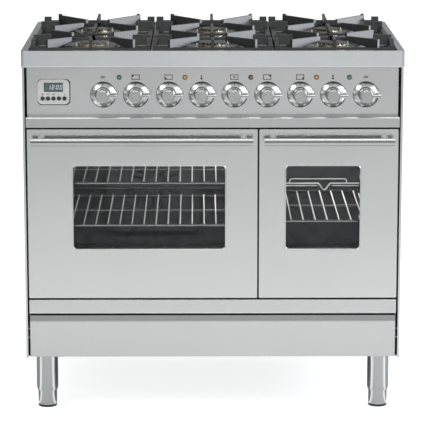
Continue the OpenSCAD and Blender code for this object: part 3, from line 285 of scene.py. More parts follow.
ink = Mat("panel_print", (0.03, 0.03, 0.03), 0.0, 0.5)
ink.color_by(ink.noise(500.0), (0.02, 0.02, 0.02), (0.045, 0.045, 0.045))
ink_grey = Mat("panel_print_grey", (0.07, 0.07, 0.07), 0.0, 0.5)
ink_grey.color_by(ink_grey.noise(500.0), (0.05, 0.05, 0.05), (0.09, 0.09, 0.09))

# Painted shade: the fan is a dark metal, darker than bare steel, for the shade it sits in behind its cover
shaded_fan_metal = Mat("shaded_fan_metal", (0.16, 0.165, 0.17), 0.9, 0.45)
shaded_fan_metal.color_by(shaded_fan_metal.noise(60.0), (0.13, 0.135, 0.14), (0.20, 0.205, 0.21))
shaded_fan_metal.rough_by(shaded_fan_metal.noise(200.0), 0.38, 0.55)

DRESS = {
    "side_panels": steel_side, "back_panel": zinc, "base_tray": zinc,
    "front_frame": enamel_oven, "oven_liner_left": enamel_oven, "oven_liner_right": enamel_oven,
    "shelf_guides": wire, "control_panel": steel_panel, "front_ledge": steel_ledge,
    "worktop": steel_slab, "hob_tray": enamel_hob, "burner_bodies": cast_alu,
    "flame_rings": brass, "burner_caps": cap_enamel, "ignition_probes": ceramic,
    "control_valves": brass, "clock_case": clock_shell, "clock_display": lcd,
    "fan_cover": enamel_oven, "fan_motor": zinc, "fan": shaded_fan_metal, "oven_lamps": bulb,
    "grill_elements": element, "wire_shelves": wire, "leg_tubes": steel_leg,
    "drawer_front": steel_drawer, "drawer_box": zinc, "door_seals": seal,
    "grate_left": iron, "grate_middle": iron, "grate_right": iron,
    "indicator_lamps": ceramic,
}
for side in ("left", "right"):
    DRESS[f"door_{side}_skin"] = steel_door
    DRESS[f"door_{side}_inner"] = enamel_oven
    DRESS[f"door_{side}_glazing"] = glass
    DRESS[f"door_{side}_handle"] = steel_handle
    DRESS[f"door_{side}_hinges"] = zinc
for corner in ("front_left", "front_right", "rear_left", "rear_right"):
    DRESS[f"foot_{corner}"] = steel_leg
for i in range(1, 10):
    DRESS[f"knob_{i}"] = chrome
for i in range(1, 6):
    DRESS[f"clock_button_{i}"] = black_plastic
for name, made in DRESS.items():
    slots = nodes[name].data.materials
    if len(slots):
        for k in range(len(slots)):
            slots[k] = made.m
    else:
        slots.append(made.m)


# ---- camera, light and floor -----------------------------------------------------------------

cam = bpy.data.cameras.new("camera")
cam.sensor_width = 36.0
cam.lens = 196.8
cam_obj = bpy.data.objects.new("camera", cam)
scene.collection.objects.link(cam_obj)
cam_obj.location = (-0.033, -5.6775, 1.562)
cam_obj.rotation_euler = (math.radians(90 - 11.217), 0.0, math.radians(-0.330))
cam.clip_start, cam.clip_end = 0.1, 60.0
scene.camera = cam_obj
scene.view_settings.view_transform = "Standard"

world = bpy.data.worlds.new("studio")
scene.world = world
world.use_nodes = True
wn, wl = world.node_tree.nodes, world.node_tree.links
background = wn["Background"]
path = wn.new("ShaderNodeLightPath")
direction = wn.new("ShaderNodeTexCoord")
slope = wn.new("ShaderNodeVectorMath")
slope.operation = "DOT_PRODUCT"
slope.inputs[1].default_value = (0.14, -0.20, 0.28)
wl.new(direction.outputs["Generated"], slope.inputs[0])
sky = wn.new("ShaderNodeMath")
sky.operation = "ADD"
sky.inputs[1].default_value = 0.42
wl.new(slope.outputs["Value"], sky.inputs[0])
pick = wn.new("ShaderNodeMix")
pick.data_type = "RGBA"
pick.inputs["A"].default_value = (0.62, 0.63, 0.64, 1)
glossy = wn.new("ShaderNodeMath")
glossy.operation = "MAXIMUM"
wl.new(path.outputs["Is Glossy Ray"], glossy.inputs[0])
wl.new(path.outputs["Is Transmission Ray"], glossy.inputs[1])
wl.new(glossy.outputs["Value"], pick.inputs["Factor"])
wl.new(sky.outputs["Value"], pick.inputs["B"])
seen = wn.new("ShaderNodeMix")
seen.data_type = "RGBA"
seen.inputs["B"].default_value = (1, 1, 1, 1)
wl.new(path.outputs["Is Camera Ray"], seen.inputs["Factor"])
wl.new(pick.outputs["Result"], seen.inputs["A"])
wl.new(seen.outputs["Result"], background.inputs["Color"])
background.inputs["Strength"].default_value = 1.0


def area(name, location, target, size, power, color=(1, 1, 1), seen=True, mirrored=True):
    """A soft rectangular lamp aimed at a target. seen is for the camera, mirrored for metal."""
    data = bpy.data.lights.new(name, "AREA")
    data.shape = "RECTANGLE"
    data.size, data.size_y = size
    data.energy = power
    data.color = color
    lamp = bpy.data.objects.new(name, data)
    scene.collection.objects.link(lamp)
    lamp.location = location
    lamp.rotation_mode = "QUATERNION"
    lamp.rotation_quaternion = (Vector(target) - Vector(location)).to_track_quat("-Z", "Y")
    lamp.visible_camera = seen
    lamp.visible_glossy = mirrored


area("key_left", (-2.6, -2.6, 3.2), (0, 0, 0.6), (2.2, 2.2), 48)
area("fill_right", (3.0, -2.4, 2.2), (0, 0, 0.6), (2.0, 2.0), 26)
area("side_right", (2.8, 0.0, 1.70), (0, 0, 1.15), (3.0, 1.1), 80, (0.90, 0.93, 1.0))
area("top", (0.0, -0.7, 3.4), (0, -0.2, 0.8), (3.0, 1.4), 60)
area("front_high", (0.0, -7.4, 2.9), (0, -0.3, 0.72), (4.4, 0.9), 26, (1, 1, 1), False)
# Light inside the ovens, from the back wall and from under the roof
OVEN_LIGHT_Z = 0.47
WARM = (1.0, 0.98, 0.95)
for spot, x, wide, power in (("left_far", -0.32, 0.10, 0.04), ("left_dim", -0.21, 0.12, 0.07),
                             ("left_mid", -0.09, 0.12, 0.09), ("left_bright", 0.01, 0.10, 0.17),
                             ("right_dim", 0.20, 0.12, 0.11), ("right_bright", 0.31, 0.12, 0.20)):
    area(f"oven_{spot}", (x, 0.168, OVEN_LIGHT_Z), (x, -1.0, OVEN_LIGHT_Z), (wide, 0.30), power, WARM, False)
for side, x, wide, power in (("left", -0.05, 0.40, 2.6), ("right", 0.28, 0.18, 1.7)):
    area(f"oven_{side}_roof", (x, -0.14, 0.60), (x, 0.15, 0.44), (wide, 0.10), power, (1, 1, 1), False, False)

bpy.ops.mesh.primitive_plane_add(size=60, location=(0, 0, 0))
floor = bpy.context.object
floor.name = "floor"
ground = Mat("floor_pale", (0.40, 0.40, 0.40), 0.0, 0.6, Specular_IOR_Level=0.0)
ground.put("Emission Color", (1, 1, 1, 1))
ray = ground.node("ShaderNodeLightPath")
place_on = ground.node("ShaderNodeSeparateXYZ")
ground.link(ground.space(), place_on.inputs["Vector"])


def maths(m, kind, a, b):
    """A math node on two values, each a number or another node's output."""
    made = m.node("ShaderNodeMath", operation=kind)
    for k, value in enumerate((a, b)):
        if isinstance(value, (int, float)):
            made.inputs[k].default_value = value
        else:
            m.link(value, made.inputs[k])
    return made.outputs["Value"]


# Painted reflections: what metal mirrors of the floor, a grey that grows lighter towards the cooker
LEG_X, LEG_FRONT = 0.41, -0.19
FLOOR_GLOW = 0.80
near = ground.ranged(place_on.outputs["Y"], 0.405, 0.50, -3.8, -1.6)
across = maths(ground, "MULTIPLY", ground.ranged(place_on.outputs["X"], -0.08, 0.05, -1.0, 0.6),
               ground.ranged(place_on.outputs["Y"], 1.0, 0.15, -4.6, -3.0))
aside = ground.ranged(maths(ground, "ABSOLUTE", place_on.outputs["X"], 0), 1.0, 0.2, 1.0, 2.6)
mirrored = maths(ground, "MULTIPLY", maths(ground, "ADD", near, across), aside)
# Painted reflections for the legs: close to them, painted shade under the cooker and before each leg, and a
# painted highlight beside them
off_middle = maths(ground, "ABSOLUTE", place_on.outputs["X"], 0)
off_leg = maths(ground, "ABSOLUTE", maths(ground, "SUBTRACT", off_middle, LEG_X), 0)
ahead = maths(ground, "MAXIMUM", maths(ground, "SUBTRACT", LEG_FRONT, place_on.outputs["Y"]), 0.01)
bearing = maths(ground, "DIVIDE", off_leg, ahead)
beside = ground.ranged(bearing, 0.30, 1.25, 1.0, 1.7)
outer = ground.ranged(bearing, 1.0, 0.04, 3.2, 5.0)
close = ground.ranged(place_on.outputs["Y"], 0.0, 1.0, -0.85, -0.68)
leg_painted_reflection = maths(ground, "MULTIPLY", maths(ground, "MULTIPLY", beside, outer), close)
far = maths(ground, "MULTIPLY", mirrored, maths(ground, "SUBTRACT", 1.0, close))
mirrored = maths(ground, "ADD", far, leg_painted_reflection)
glow = maths(ground, "MULTIPLY", mirrored, ray.outputs["Is Glossy Ray"])
clear = maths(ground, "MAXIMUM", ray.outputs["Is Camera Ray"], ray.outputs["Is Transmission Ray"])
ground.link(maths(ground, "ADD", glow, maths(ground, "MULTIPLY", clear, FLOOR_GLOW)),
            ground.b.inputs["Emission Strength"])
floor.data.materials.append(ground.m)

# ---- making pieces ---------------------------------------------------------------------------

FRONT_Y = -0.2775
PANEL_D = 25.0
KNOB_X0, KNOB_PITCH = -259.5, 77.6
KNOB_Z = (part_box("knob_5")[0].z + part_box("knob_5")[1].z) / 2 * 1000
SHARP = math.radians(32)


def at(x, d, z):
    """A place given in mm: across, behind the worktop's front, and up."""
    return Vector((x / 1000, d / 1000 + FRONT_Y, z / 1000))


def sharpen(bm):
    """Smooth faces, with sharp edges where the surface turns by more than SHARP."""
    for face in bm.faces:
        face.smooth = True
    for edge in bm.edges:
        if len(edge.link_faces) == 2:
            edge.smooth = edge.calc_face_angle(0.0) < SHARP
        else:
            edge.smooth = False


def piece(name, bm, body, mats):
    """Turns a bmesh into a piece that rides on a body."""
    bmesh.ops.remove_doubles(bm, verts=bm.verts, dist=1e-6)
    bmesh.ops.recalc_face_normals(bm, faces=bm.faces)
    sharpen(bm)
    mesh = bpy.data.meshes.new(name)
    bm.to_mesh(mesh)
    bm.free()
    obj = bpy.data.objects.new(name, mesh)
    scene.collection.objects.link(obj)
    for m in mats:
        mesh.materials.append(m.m)
    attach(obj, body)
    return obj


def revolve(bm, profile, origin, axis=Vector((0, -1, 0)), steps=96, mat_of=None, reach=None):
    """Turns (radius, height) points in mm about an axis from origin. The ends close on the axis."""
    turn = Vector((0, 0, 1)).rotation_difference(axis).to_matrix()
    rings = []
    for r, h in profile:
        if r < 1e-6:
            rings.append([bm.verts.new(origin + turn @ Vector((0, 0, h / 1000)))])
            continue
        ring = []
        for k in range(steps):
            a = 2 * math.pi * k / steps
            out = reach(a, r) if reach else r
            p = Vector((out * math.cos(a), out * math.sin(a), h)) / 1000
            ring.append(bm.verts.new(origin + turn @ p))
        rings.append(ring)
    for i in range(len(rings) - 1):
        a, b = rings[i], rings[i + 1]
        index = mat_of(i) if mat_of else 0
        for k in range(steps):
            n = (k + 1) % steps
            if len(a) == 1 and len(b) == 1:
                continue
            if len(a) == 1:
                f = bm.faces.new((a[0], b[k], b[n]))
            elif len(b) == 1:
                f = bm.faces.new((a[k], a[n], b[0]))
            else:
                f = bm.faces.new((a[k], a[n], b[n], b[k]))
            f.material_index = index


def prism(bm, outline, place, up):
    """Extrudes a flat outline of points in mm. place(u, v) gives its points, up is the thickness."""
    low = [bm.verts.new(place(u, v)) for u, v in outline]
    high = [bm.verts.new(v.co + up) for v in low]
    shell(bm, low, high)


def shell(bm, low, high, index=0):
    """Closes the space between two equal outlines."""
    faces = [bm.faces.new(low), bm.faces.new(list(reversed(high)))]
    for k in range(len(low)):
        n = (k + 1) % len(low)
        faces.append(bm.faces.new((low[k], high[k], high[n], low[n])))
    for face in faces:
        face.material_index = index


def disc(u, v, r, steps=20):
    return [(u + r * math.cos(2 * math.pi * k / steps), v + r * math.sin(2 * math.pi * k / steps))
            for k in range(steps)]


def bar(u0, v0, u1, v1):
    return [(u0, v0), (u1, v0), (u1, v1), (u0, v1)]


def frame_of(u, v, w, h, t):
    """The four bars of an open rectangle round (u, v)."""
    a, b, c, d = u - w / 2, u + w / 2, v - h / 2, v + h / 2
    return [bar(a, d - t, b, d), bar(a, c, b, c + t), bar(a, c, a + t, d), bar(b - t, c, b, d)]


# ---- knobs -----------------------------------------------------------------------------------

SKIRT_R, GRIP_R, FACE_R, REACH = 30.0, 17.0, 14.4, 46.0
MARKS = {1: "selector", 4: "heat", 8: "heat", 9: "selector"}

brushed_face = Mat("knob_face", (0.46, 0.46, 0.46), 1.0, 0.32)
grain = brushed_face.noise(700.0, (1, 0.02, 1), 2.0)
brushed_face.color_by(brushed_face.noise(260.0), (0.43, 0.43, 0.43), (0.49, 0.49, 0.49))
brushed_face.rough_by(brushed_face.noise(40.0), 0.28, 0.36).bump(grain, 0.00001, 0.5)
# Painted shade: the knob's recessed rings are dark metal, standing in for the shade that falls in them
groove_shade = Mat("knob_groove", (0.10, 0.10, 0.10), 1.0, 0.45)
groove_shade.rough_by(groove_shade.noise(300.0), 0.4, 0.55)

LEAN = math.radians(31.5)
POINT_R = 34.8
# The dark-metal rings paint the shade in the knob's recesses
METAL, FACE, GROOVE_SHADE, PRINT = range(4)


def lobe(a, r):
    """Radius of the skirt at an angle: its rim runs out to a point under the wing."""
    a = abs(math.remainder(a, 2 * math.pi))
    if a >= LEAN or r < 20:
        return r
    point = min(1 / math.cos(LEAN - a), POINT_R / SKIRT_R)
    ease = min(1.0, (r - 20) / 8)
    return r * (1 + (point - 1) * ease * ease * (3 - 2 * ease))


def dome_height(r):
    """Height of the skirt's dome over the panel."""
    out = min(1.0, max(0.0, (r - GRIP_R) / (SKIRT_R - GRIP_R)))
    return 1.6 + 8.2 * (1 - out ** 1.4)


def knob_profile():
    """The turned outline, and the material of each of its bands."""
    points = [(0, 0.5), (SKIRT_R - 0.4, 0.5), (SKIRT_R, 0.8), (SKIRT_R, 1.3)]
    kinds = [METAL] * 3
    for k in range(15):
        r = SKIRT_R - 0.3 - (SKIRT_R - GRIP_R - 1.4) * k / 14
        points.append((r, dome_height(r)))
        kinds.append(METAL)
    points += [(GRIP_R + 1.0, 9.4), (GRIP_R + 0.9, 8.6), (GRIP_R + 0.1, 8.6)]
    kinds += [GROOVE_SHADE] * 3
    top = REACH - 4.2
    for k in range(9):
        t = k / 8
        points.append((GRIP_R + (FACE_R + 0.9 - GRIP_R) * t, 9.2 + (top - 9.2) * t))
        kinds.append(METAL)
    points += [(FACE_R + 0.2, top + 0.25), (FACE_R + 0.2, top + 1.15), (FACE_R + 0.75, top + 1.4),
               (FACE_R + 0.65, REACH - 1.2), (FACE_R + 0.35, REACH - 0.5), (FACE_R - 0.1, REACH - 0.1),
               (FACE_R - 0.9, REACH - 0.25), (FACE_R - 1.1, REACH - 0.45), (0, REACH - 0.45)]
    kinds += [GROOVE_SHADE] * 3 + [METAL] * 4 + [GROOVE_SHADE, FACE]
    return points, kinds


def knob_marks(bm, kind, place):
    """Printed marks that lie on the skirt's dome."""
    def arc_mark(angle, r, w, h):
        a = math.radians(angle)
        radial = Vector((math.cos(a), math.sin(a)))
        side = Vector((-radial.y, radial.x))
        corners = [radial * (r + i * h / 2) + side * (j * w / 2)
                   for i, j in ((-1, -1), (1, -1), (1, 1), (-1, 1))]
        low = [bm.verts.new(place(c.x, c.y, dome_height(c.length) - 0.15)) for c in corners]
        high = [bm.verts.new(place(c.x, c.y, dome_height(c.length) + 0.06)) for c in corners]
        shell(bm, low, high, PRINT)

    low, high = [], []
    for u, v in disc(0, 24.2, 1.5, 16):
        h = dome_height(math.hypot(u, v))
        low.append(bm.verts.new(place(u, v, h - 0.2)))
        high.append(bm.verts.new(place(u, v, h + 0.08)))
    shell(bm, low, high, PRINT)
    if kind == "selector":
        for angle in (40, 55, 70, 110, 125, 140, 215, 235, 255, 275):
            arc_mark(angle, 23.6, 2.6, 1.0)
            arc_mark(angle, 21.6, 1.4, 0.9)
    elif kind == "heat":
        for k in range(9):
            arc_mark(60 - 30 * k, 24.0, 0.9, 2.6 if k % 2 == 0 else 1.6)
        for k in range(4):
            arc_mark(112 + 8 * k, 23.6, 1.0, 1.4)
    else:
        for angle, size in ((62, 1.6), (70, 1.2), (112, 1.6), (264, 2.0), (276, 1.4)):
            arc_mark(angle, 23.8, size, 1.3)


def wing(bm, place):
    """The raised bar from the grip to beyond the skirt, with a soft edge all round."""
    half, reach, low, tip_top = 3.7, 35.0, 2.0, 36.5
    top = REACH - 2.0
    stations = []
    for k in range(13):
        x = 9.0 + (reach - 9.0) * k / 12
        height = top if x < FACE_R else top - (top - tip_top) * (x - FACE_R) / (reach - FACE_R)
        w = half
        over = x - (reach - half)
        if over > 0:
            w = math.sqrt(max(half ** 2 - over ** 2, 0.25))
        stations.append((x, w, height))
    rings = []
    for x, w, height in stations:
        r = min(0.9, w * 0.4)
        ring = [(x, -w, low), (x, -w, height - r), (x, -w + r * 0.3, height - r * 0.3),
                (x, -w + r, height), (x, w - r, height), (x, w - r * 0.3, height - r * 0.3),
                (x, w, height - r), (x, w, low)]
        rings.append([bm.verts.new(place(*p)) for p in ring])
    for a, b in zip(rings, rings[1:]):
        for k in range(len(a)):
            n = (k + 1) % len(a)
            bm.faces.new((a[k], b[k], b[n], a[n]))
    bm.faces.new(rings[0])
    bm.faces.new(list(reversed(rings[-1])))


for i in range(1, 10):
    x = KNOB_X0 + (i - 1) * KNOB_PITCH
    bm = bmesh.new()
    points, kinds = knob_profile()
    revolve(bm, points, at(x, PANEL_D, KNOB_Z), steps=144, mat_of=lambda k: kinds[k], reach=lobe)
    spindle = [(0, -22), (4, -22), (4, 0.5)]
    revolve(bm, spindle, at(x, PANEL_D, KNOB_Z), steps=32)

    def place(u, v, h, x=x):
        return at(x + u, PANEL_D - h, KNOB_Z + v)

    wing(bm, place)
    knob_marks(bm, MARKS.get(i, "tap"), place)
    made = piece(f"knob_{i}_turned", bm, f"knob_{i}", [chrome, brushed_face, groove_shade, ink])
    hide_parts(f"knob_{i}")


# Painted shadow: dark rings behind the knobs, set a little right and down, stand in for the knobs' shadows on
# the panel
knob_shade_ring = Mat("painted_shadow_black", (0.03, 0.03, 0.03), 0.0, 0.8, Specular_IOR_Level=0.2)
knob_shade_ring.color_by(knob_shade_ring.noise(400.0), (0.02, 0.02, 0.02), (0.045, 0.045, 0.045))
bm = bmesh.new()
KNOB_SHADE_RING_PROFILE = [(9.5, 0.02), (30.7, 0.02), (31.0, 0.15), (31.0, 0.28), (30.7, 0.38), (9.5, 0.38)]
for i in range(9):
    revolve(bm, KNOB_SHADE_RING_PROFILE, at(KNOB_X0 + i * KNOB_PITCH + 0.6, PANEL_D, KNOB_Z - 0.8), steps=72)
piece("knob_shadow_rings", bm, "casing", [knob_shade_ring])

# ---- control panel: lamps, prints and clock --------------------------------------------------

LAMPS = ((0.5, "green"), (2.5, "amber"), (4.5, "amber_off"), (6.5, "amber"), (7.5, "green"))
LAMP_Z = KNOB_Z + 40
lens = {
    "green": ((0.02, 0.08, 0.03), (0.13, 0.26, 0.16)),
    "amber": ((0.28, 0.11, 0.01), (0.72, 0.40, 0.10)),
    "amber_off": ((0.07, 0.03, 0.008), (0.24, 0.14, 0.06)),
}
lens_mats = {}
for key, (dark, light) in lens.items():
    made = Mat(f"lens_{key}", dark, 0.0, 0.12, Coat_Weight=0.6, Coat_Roughness=0.03)
    cells = made.node("ShaderNodeTexVoronoi")
    cells.inputs["Scale"].default_value = 900.0
    made.link(made.space(), cells.inputs["Vector"])
    made.color_by(cells.outputs["Distance"], tuple(c * 0.85 for c in dark), dark, 0.1, 0.6)
    core = Mat(f"lens_core_{key}", light, 0.0, 0.15, Coat_Weight=0.6, Coat_Roughness=0.03)
    core.color_by(core.noise(500.0), tuple(c * 0.9 for c in light), light)
    lens_mats[key] = (made, core)
bezel = Mat("lamp_bezel", (0.12, 0.12, 0.12), 1.0, 0.25)
bezel.rough_by(bezel.noise(300.0), 0.2, 0.34)

for key in ("green", "amber", "amber_off"):
    bm = bmesh.new()
    for slot_at, kind in LAMPS:
        if kind != key:
            continue
        spot = at(KNOB_X0 + slot_at * KNOB_PITCH, PANEL_D, LAMP_Z)
        revolve(bm, [(0, -13.5), (4.3, -13.5), (4.3, 0), (6.0, 0), (6.0, 1.0), (5.6, 1.45), (5.0, 1.5)],
                spot, steps=40)
        dome = [(5.0, 1.5)] + [(5.0 * math.cos(t), 1.5 + 1.7 * math.sin(t))
                               for t in [math.radians(12 * k) for k in range(1, 7)]]
        revolve(bm, dome + [(0, 3.2)], spot, steps=40, mat_of=lambda k: 1 if k < 4 else 2)
    made = piece(f"lamps_{key}", bm, "casing", [bezel, *lens_mats[key]])
    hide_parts("indicator_lamps")

PRINT_PROUD = 0.12


def printed(name, outlines, m, depth=PANEL_D, proud=PRINT_PROUD):
    """Flat marks that stand a little proud of a face."""
    bm = bmesh.new()
    for outline in outlines:
        prism(bm, outline, lambda u, v: at(u, depth + 0.05, v), Vector((0, -(proud + 0.05) / 1000, 0)))
    piece(name, bm, "casing", [m])


icons = []
BURNER_DOT = {2: (-1, 1), 3: (-1, -1), 5: (0, 0), 6: (1, 1), 7: (1, -1)}
ICON_Z = LAMP_Z + 0.5
for i in range(1, 10):
    x = KNOB_X0 + (i - 1) * KNOB_PITCH
    if i in BURNER_DOT:
        u, v = BURNER_DOT[i]
        icons += frame_of(x, ICON_Z, 19, 12.4, 1.7)
        icons.append(disc(x + u * 6.6, ICON_Z + v * 3.2, 2.3))
    elif i in (4, 8):
        icons += [bar(x - 1.2, ICON_Z - 4.5, x + 1.2, ICON_Z + 5.5), disc(x, ICON_Z - 3.6, 2.3)]
        if i == 8:
            icons += [bar(x - 1.9, ICON_Z + 2.6, x + 1.9, ICON_Z + 4.2)]
    else:
        icons += frame_of(x, ICON_Z, 10, 5.2, 0.9)
        for u in (-2.4, 0, 2.4):
            icons.append(bar(x + u - 0.7, ICON_Z - 1.8, x + u + 0.7, ICON_Z + 1.8))
printed("panel_icons", icons, ink_grey)

CLOCK_X, CLOCK_Z, CLOCK_FACE = -376.0, KNOB_Z + 6, PANEL_D - 3.0
symbols = [disc(CLOCK_X - 25.8, KNOB_Z + 0.6, 1.7)]
for k in (1, 2, 3, 4):
    x = CLOCK_X + (k - 2) * 12.9
    if k < 3:
        symbols += [bar(x - 3.4, KNOB_Z + 1.0, x + 3.4, KNOB_Z + 1.7),
                    bar(x - 3.4, KNOB_Z - 0.8, x + 3.4, KNOB_Z - 0.1),
                    bar(x - 0.4, KNOB_Z - 0.8, x + 0.4, KNOB_Z + 1.7)]
    else:
        symbols += [bar(x - 1.9, KNOB_Z + 0.1, x + 1.9, KNOB_Z + 0.8)]
        if k == 4:
            symbols += [bar(x - 0.35, KNOB_Z - 1.5, x + 0.35, KNOB_Z + 2.3)]
printed("clock_symbols", symbols, ink_grey, CLOCK_FACE)
printed("clock_dot", [symbols[0]], ink, CLOCK_FACE, 0.15)

digit_glow = Mat("lcd_digits", (0.74, 0.82, 0.84), 0.0, 0.4)
digit_glow.color_by(digit_glow.noise(200.0), (0.68, 0.76, 0.78), (0.80, 0.88, 0.90))
SEGMENTS = {"0": "abcdef", "1": "bc", "2": "abged"}


def digit(char, u, v, w=5.6, h=10.5, t=1.35, slant=0.12):
    """The lit bars of a seven-bar figure, leaning to the right."""
    made = []
    spans = {
        "a": bar(-w / 2, h / 2 - t, w / 2, h / 2), "d": bar(-w / 2, -h / 2, w / 2, -h / 2 + t),
        "g": bar(-w / 2 + 0.3, -t / 2, w / 2 - 0.3, t / 2),
        "f": bar(-w / 2, 0.3, -w / 2 + t, h / 2 - 0.3), "b": bar(w / 2 - t, 0.3, w / 2, h / 2 - 0.3),
        "e": bar(-w / 2, -h / 2 + 0.3, -w / 2 + t, -0.3), "c": bar(w / 2 - t, -h / 2 + 0.3, w / 2, -0.3),
    }
    for s in SEGMENTS[char]:
        made.append([(u + a + slant * b, v + b) for a, b in spans[s]])
    return made


LCD_Z = CLOCK_Z + 11
shapes = []
for k, char in enumerate("1200"):
    shapes += digit(char, CLOCK_X - 9.5 + k * 8.6 + (1.6 if k > 1 else 0), LCD_Z)
shapes += [disc(CLOCK_X + 4.0, LCD_Z + 2.3, 0.8, 12), disc(CLOCK_X + 3.6, LCD_Z - 2.3, 0.8, 12)]
printed("clock_digits", shapes, digit_glow, CLOCK_FACE + 1.0, 0.12)
printed("clock_display_border", frame_of(CLOCK_X, LCD_Z, 44.8, 21.8, 1.5), ink, CLOCK_FACE + 1.0, 0.3)

# ---- folded edges, painted shade strips and wires --------------------------------------------

def round_points(steps):
    return [2 * math.pi * k / steps for k in range(steps)]


def joined(bm, ring, after):
    """Faces between two equal rings."""
    for k in range(len(ring)):
        n = (k + 1) % len(ring)
        bm.faces.new((ring[k], ring[n], after[n], after[k]))


def capped(bm, first, last):
    bm.faces.new(first)
    bm.faces.new(list(reversed(last)))


def fold(bm, x0, x1, y, z, r=0.0013, steps=10):
    """A round bead along X."""
    ends = [[bm.verts.new((x, y + r * math.cos(t), z + r * math.sin(t))) for t in round_points(steps)]
            for x in (x0, x1)]
    joined(bm, *ends)
    capped(bm, *ends)


def wire_ring(bm, spot, out, r, steps):
    return [bm.verts.new(spot + out * (r * math.cos(t)) + Vector((0, r * math.sin(t), 0)))
            for t in round_points(steps)]


def rim(bm, x0, x1, z0, z1, corner, y, r=0.0011, steps=10):
    """A round bead that runs about a rounded window."""
    rings = []
    for cx, cz, start in ((x1 - corner, z1 - corner, 0), (x0 + corner, z1 - corner, 90),
                          (x0 + corner, z0 + corner, 180), (x1 - corner, z0 + corner, 270)):
        for k in range(9):
            a = math.radians(start + 90 * k / 8)
            out = Vector((math.cos(a), 0, math.sin(a)))
            rings.append(wire_ring(bm, Vector((cx, y, cz)) + out * corner, out, r, steps))
    for ring, after in zip(rings, rings[1:] + rings[:1]):
        joined(bm, ring, after)


def strip(bm, x0, x1, y0, y1, z0, z1, r=0.0004):
    """A strip along X with chamfered edges."""
    outline = [(y0 + r, z0), (y1 - r, z0), (y1, z0 + r), (y1, z1 - r),
               (y1 - r, z1), (y0 + r, z1), (y0, z1 - r), (y0, z0 + r)]
    ends = [[bm.verts.new((x, y, z)) for y, z in outline] for x in (x0, x1)]
    joined(bm, *ends)
    capped(bm, *ends)


def rod(bm, points, r, steps=10):
    """A round wire through points that share one depth."""
    rings = []
    for k, spot in enumerate(points):
        ahead = (points[min(k + 1, len(points) - 1)] - points[max(k - 1, 0)]).normalized()
        rings.append(wire_ring(bm, spot, ahead.cross(Vector((0, 1, 0))), r, steps))
    for ring, after in zip(rings, rings[1:]):
        joined(bm, ring, after)
    capped(bm, rings[0], rings[-1])


def thin(name, body, m, form, *shapes):
    """A piece made of one or more folds, rims, strips or rods."""
    bm = bmesh.new()
    for shape in shapes:
        form(bm, *shape)
    piece(name, bm, body, [m])


# Painted shade: the edge beads are a darker steel than the sheets they are folded from, which dims their edge
# lines
shaded_bead_steel = brushed("shaded_bead_steel", (0.41, 0.415, 0.415), 0.2, ALONG_X, edge=0)
# Painted light: the window rims are a lighter steel than the door sheet, which brightens their edge lines
lit_rim_steel = brushed("window_rim_steel", (0.64, 0.645, 0.645), 0.2, ALONG_X, edge=0)
# Painted shade: black strips put in the gaps round the doors and drawer, and behind the handles, stand in for
# the shade there
gap_shade_black = Mat("gap_shade_black", (0.008, 0.008, 0.008), 0.0, 0.8, Specular_IOR_Level=0.1)
gap_shade_black.color_by(gap_shade_black.noise(300.0), (0.006, 0.006, 0.006), (0.012, 0.012, 0.012))
# Painted shade: dark lines across the handles stand in for their shade and dark reflection
handle_shade_dark = Mat("handle_line", (0.16, 0.16, 0.16), 1.0, 0.4)
handle_shade_dark.color_by(handle_shade_dark.noise(200.0), (0.13, 0.13, 0.13), (0.19, 0.19, 0.19))

low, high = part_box("worktop")
thin("worktop_fold", "casing", shaded_bead_steel, fold,
     (low.x + 0.001, high.x - 0.001, low.y + 0.0007, low.z + 0.0013))

WINDOWS = {"left": (-0.3315, 0.0295), "right": (0.1735, 0.3495)}
WINDOW_Z0, WINDOW_Z1, WINDOW_R, GROW = 0.401, 0.6015, 0.0085, 0.0008
for side, (x0, x1) in WINDOWS.items():
    body = f"{side}_door"
    low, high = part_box(f"door_{side}_skin")
    thin(f"door_{side}_window_rim", body, lit_rim_steel, rim,
         (x0 - GROW, x1 + GROW, WINDOW_Z0 - GROW, WINDOW_Z1 + GROW, WINDOW_R + GROW, low.y + 0.0006))
    thin(f"door_{side}_fold", body, shaded_bead_steel, fold,
         (low.x + 0.0008, high.x - 0.0008, low.y + 0.0008, low.z + 0.0014))
    # Painted shade: a black strip in the gap above each door
    thin(f"door_{side}_top_gap_shade", body, gap_shade_black, strip,
         (low.x + 0.002, high.x - 0.002, low.y + 0.0010, high.y - 0.004, high.z - 0.0002, high.z + 0.0030))
    low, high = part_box(f"door_{side}_handle")
    middle = (low.z + high.z) / 2
    # Painted shadow: a black strip behind each handle stands in for the shadow seen just above it
    thin(f"door_{side}_handle_shadow_liner", body, gap_shade_black, strip,
         (low.x + 0.003, high.x - 0.003, low.y + 0.0185, low.y + 0.0196, middle - 0.0060, middle - 0.0010))
    # Painted shade: two dark lines on each handle's front stand in for the shade of its groove and of its
    # lower edge
    thin(f"door_{side}_handle_shade_lines", body, handle_shade_dark, strip,
         (low.x + 0.0006, high.x - 0.0006, low.y - 0.0001, low.y + 0.0012, middle + 0.0014, middle + 0.0040),
         (low.x + 0.0010, high.x - 0.0010, low.y + 0.0003, low.y + 0.0024, middle - 0.0076, middle - 0.0052))

# Bent stop wires at the back of the right shelf
rail_steel = Mat("rail_wire", (0.84, 0.84, 0.83), 0.1, 0.3)
rail_steel.color_by(rail_steel.noise(40.0), (0.80, 0.80, 0.79), (0.88, 0.88, 0.87))
RAIL_X0, RAIL_X1, RAIL_Y, RAIL_Z = 0.1435, 0.3795, 0.1850, 0.4745
DIP_X, DIP_HALF, DIP = 0.2895, 0.0175, 0.0165
LOWER, DIP_GAP = 0.0062, 0.002
HOOK = ((0.199, 0.0), (0.2015, 0.009), (0.204, 0.0112), (0.207, 0.0115),
        (0.342, 0.0115), (0.345, 0.0105), (0.3465, 0.007), (0.3468, 0.0))


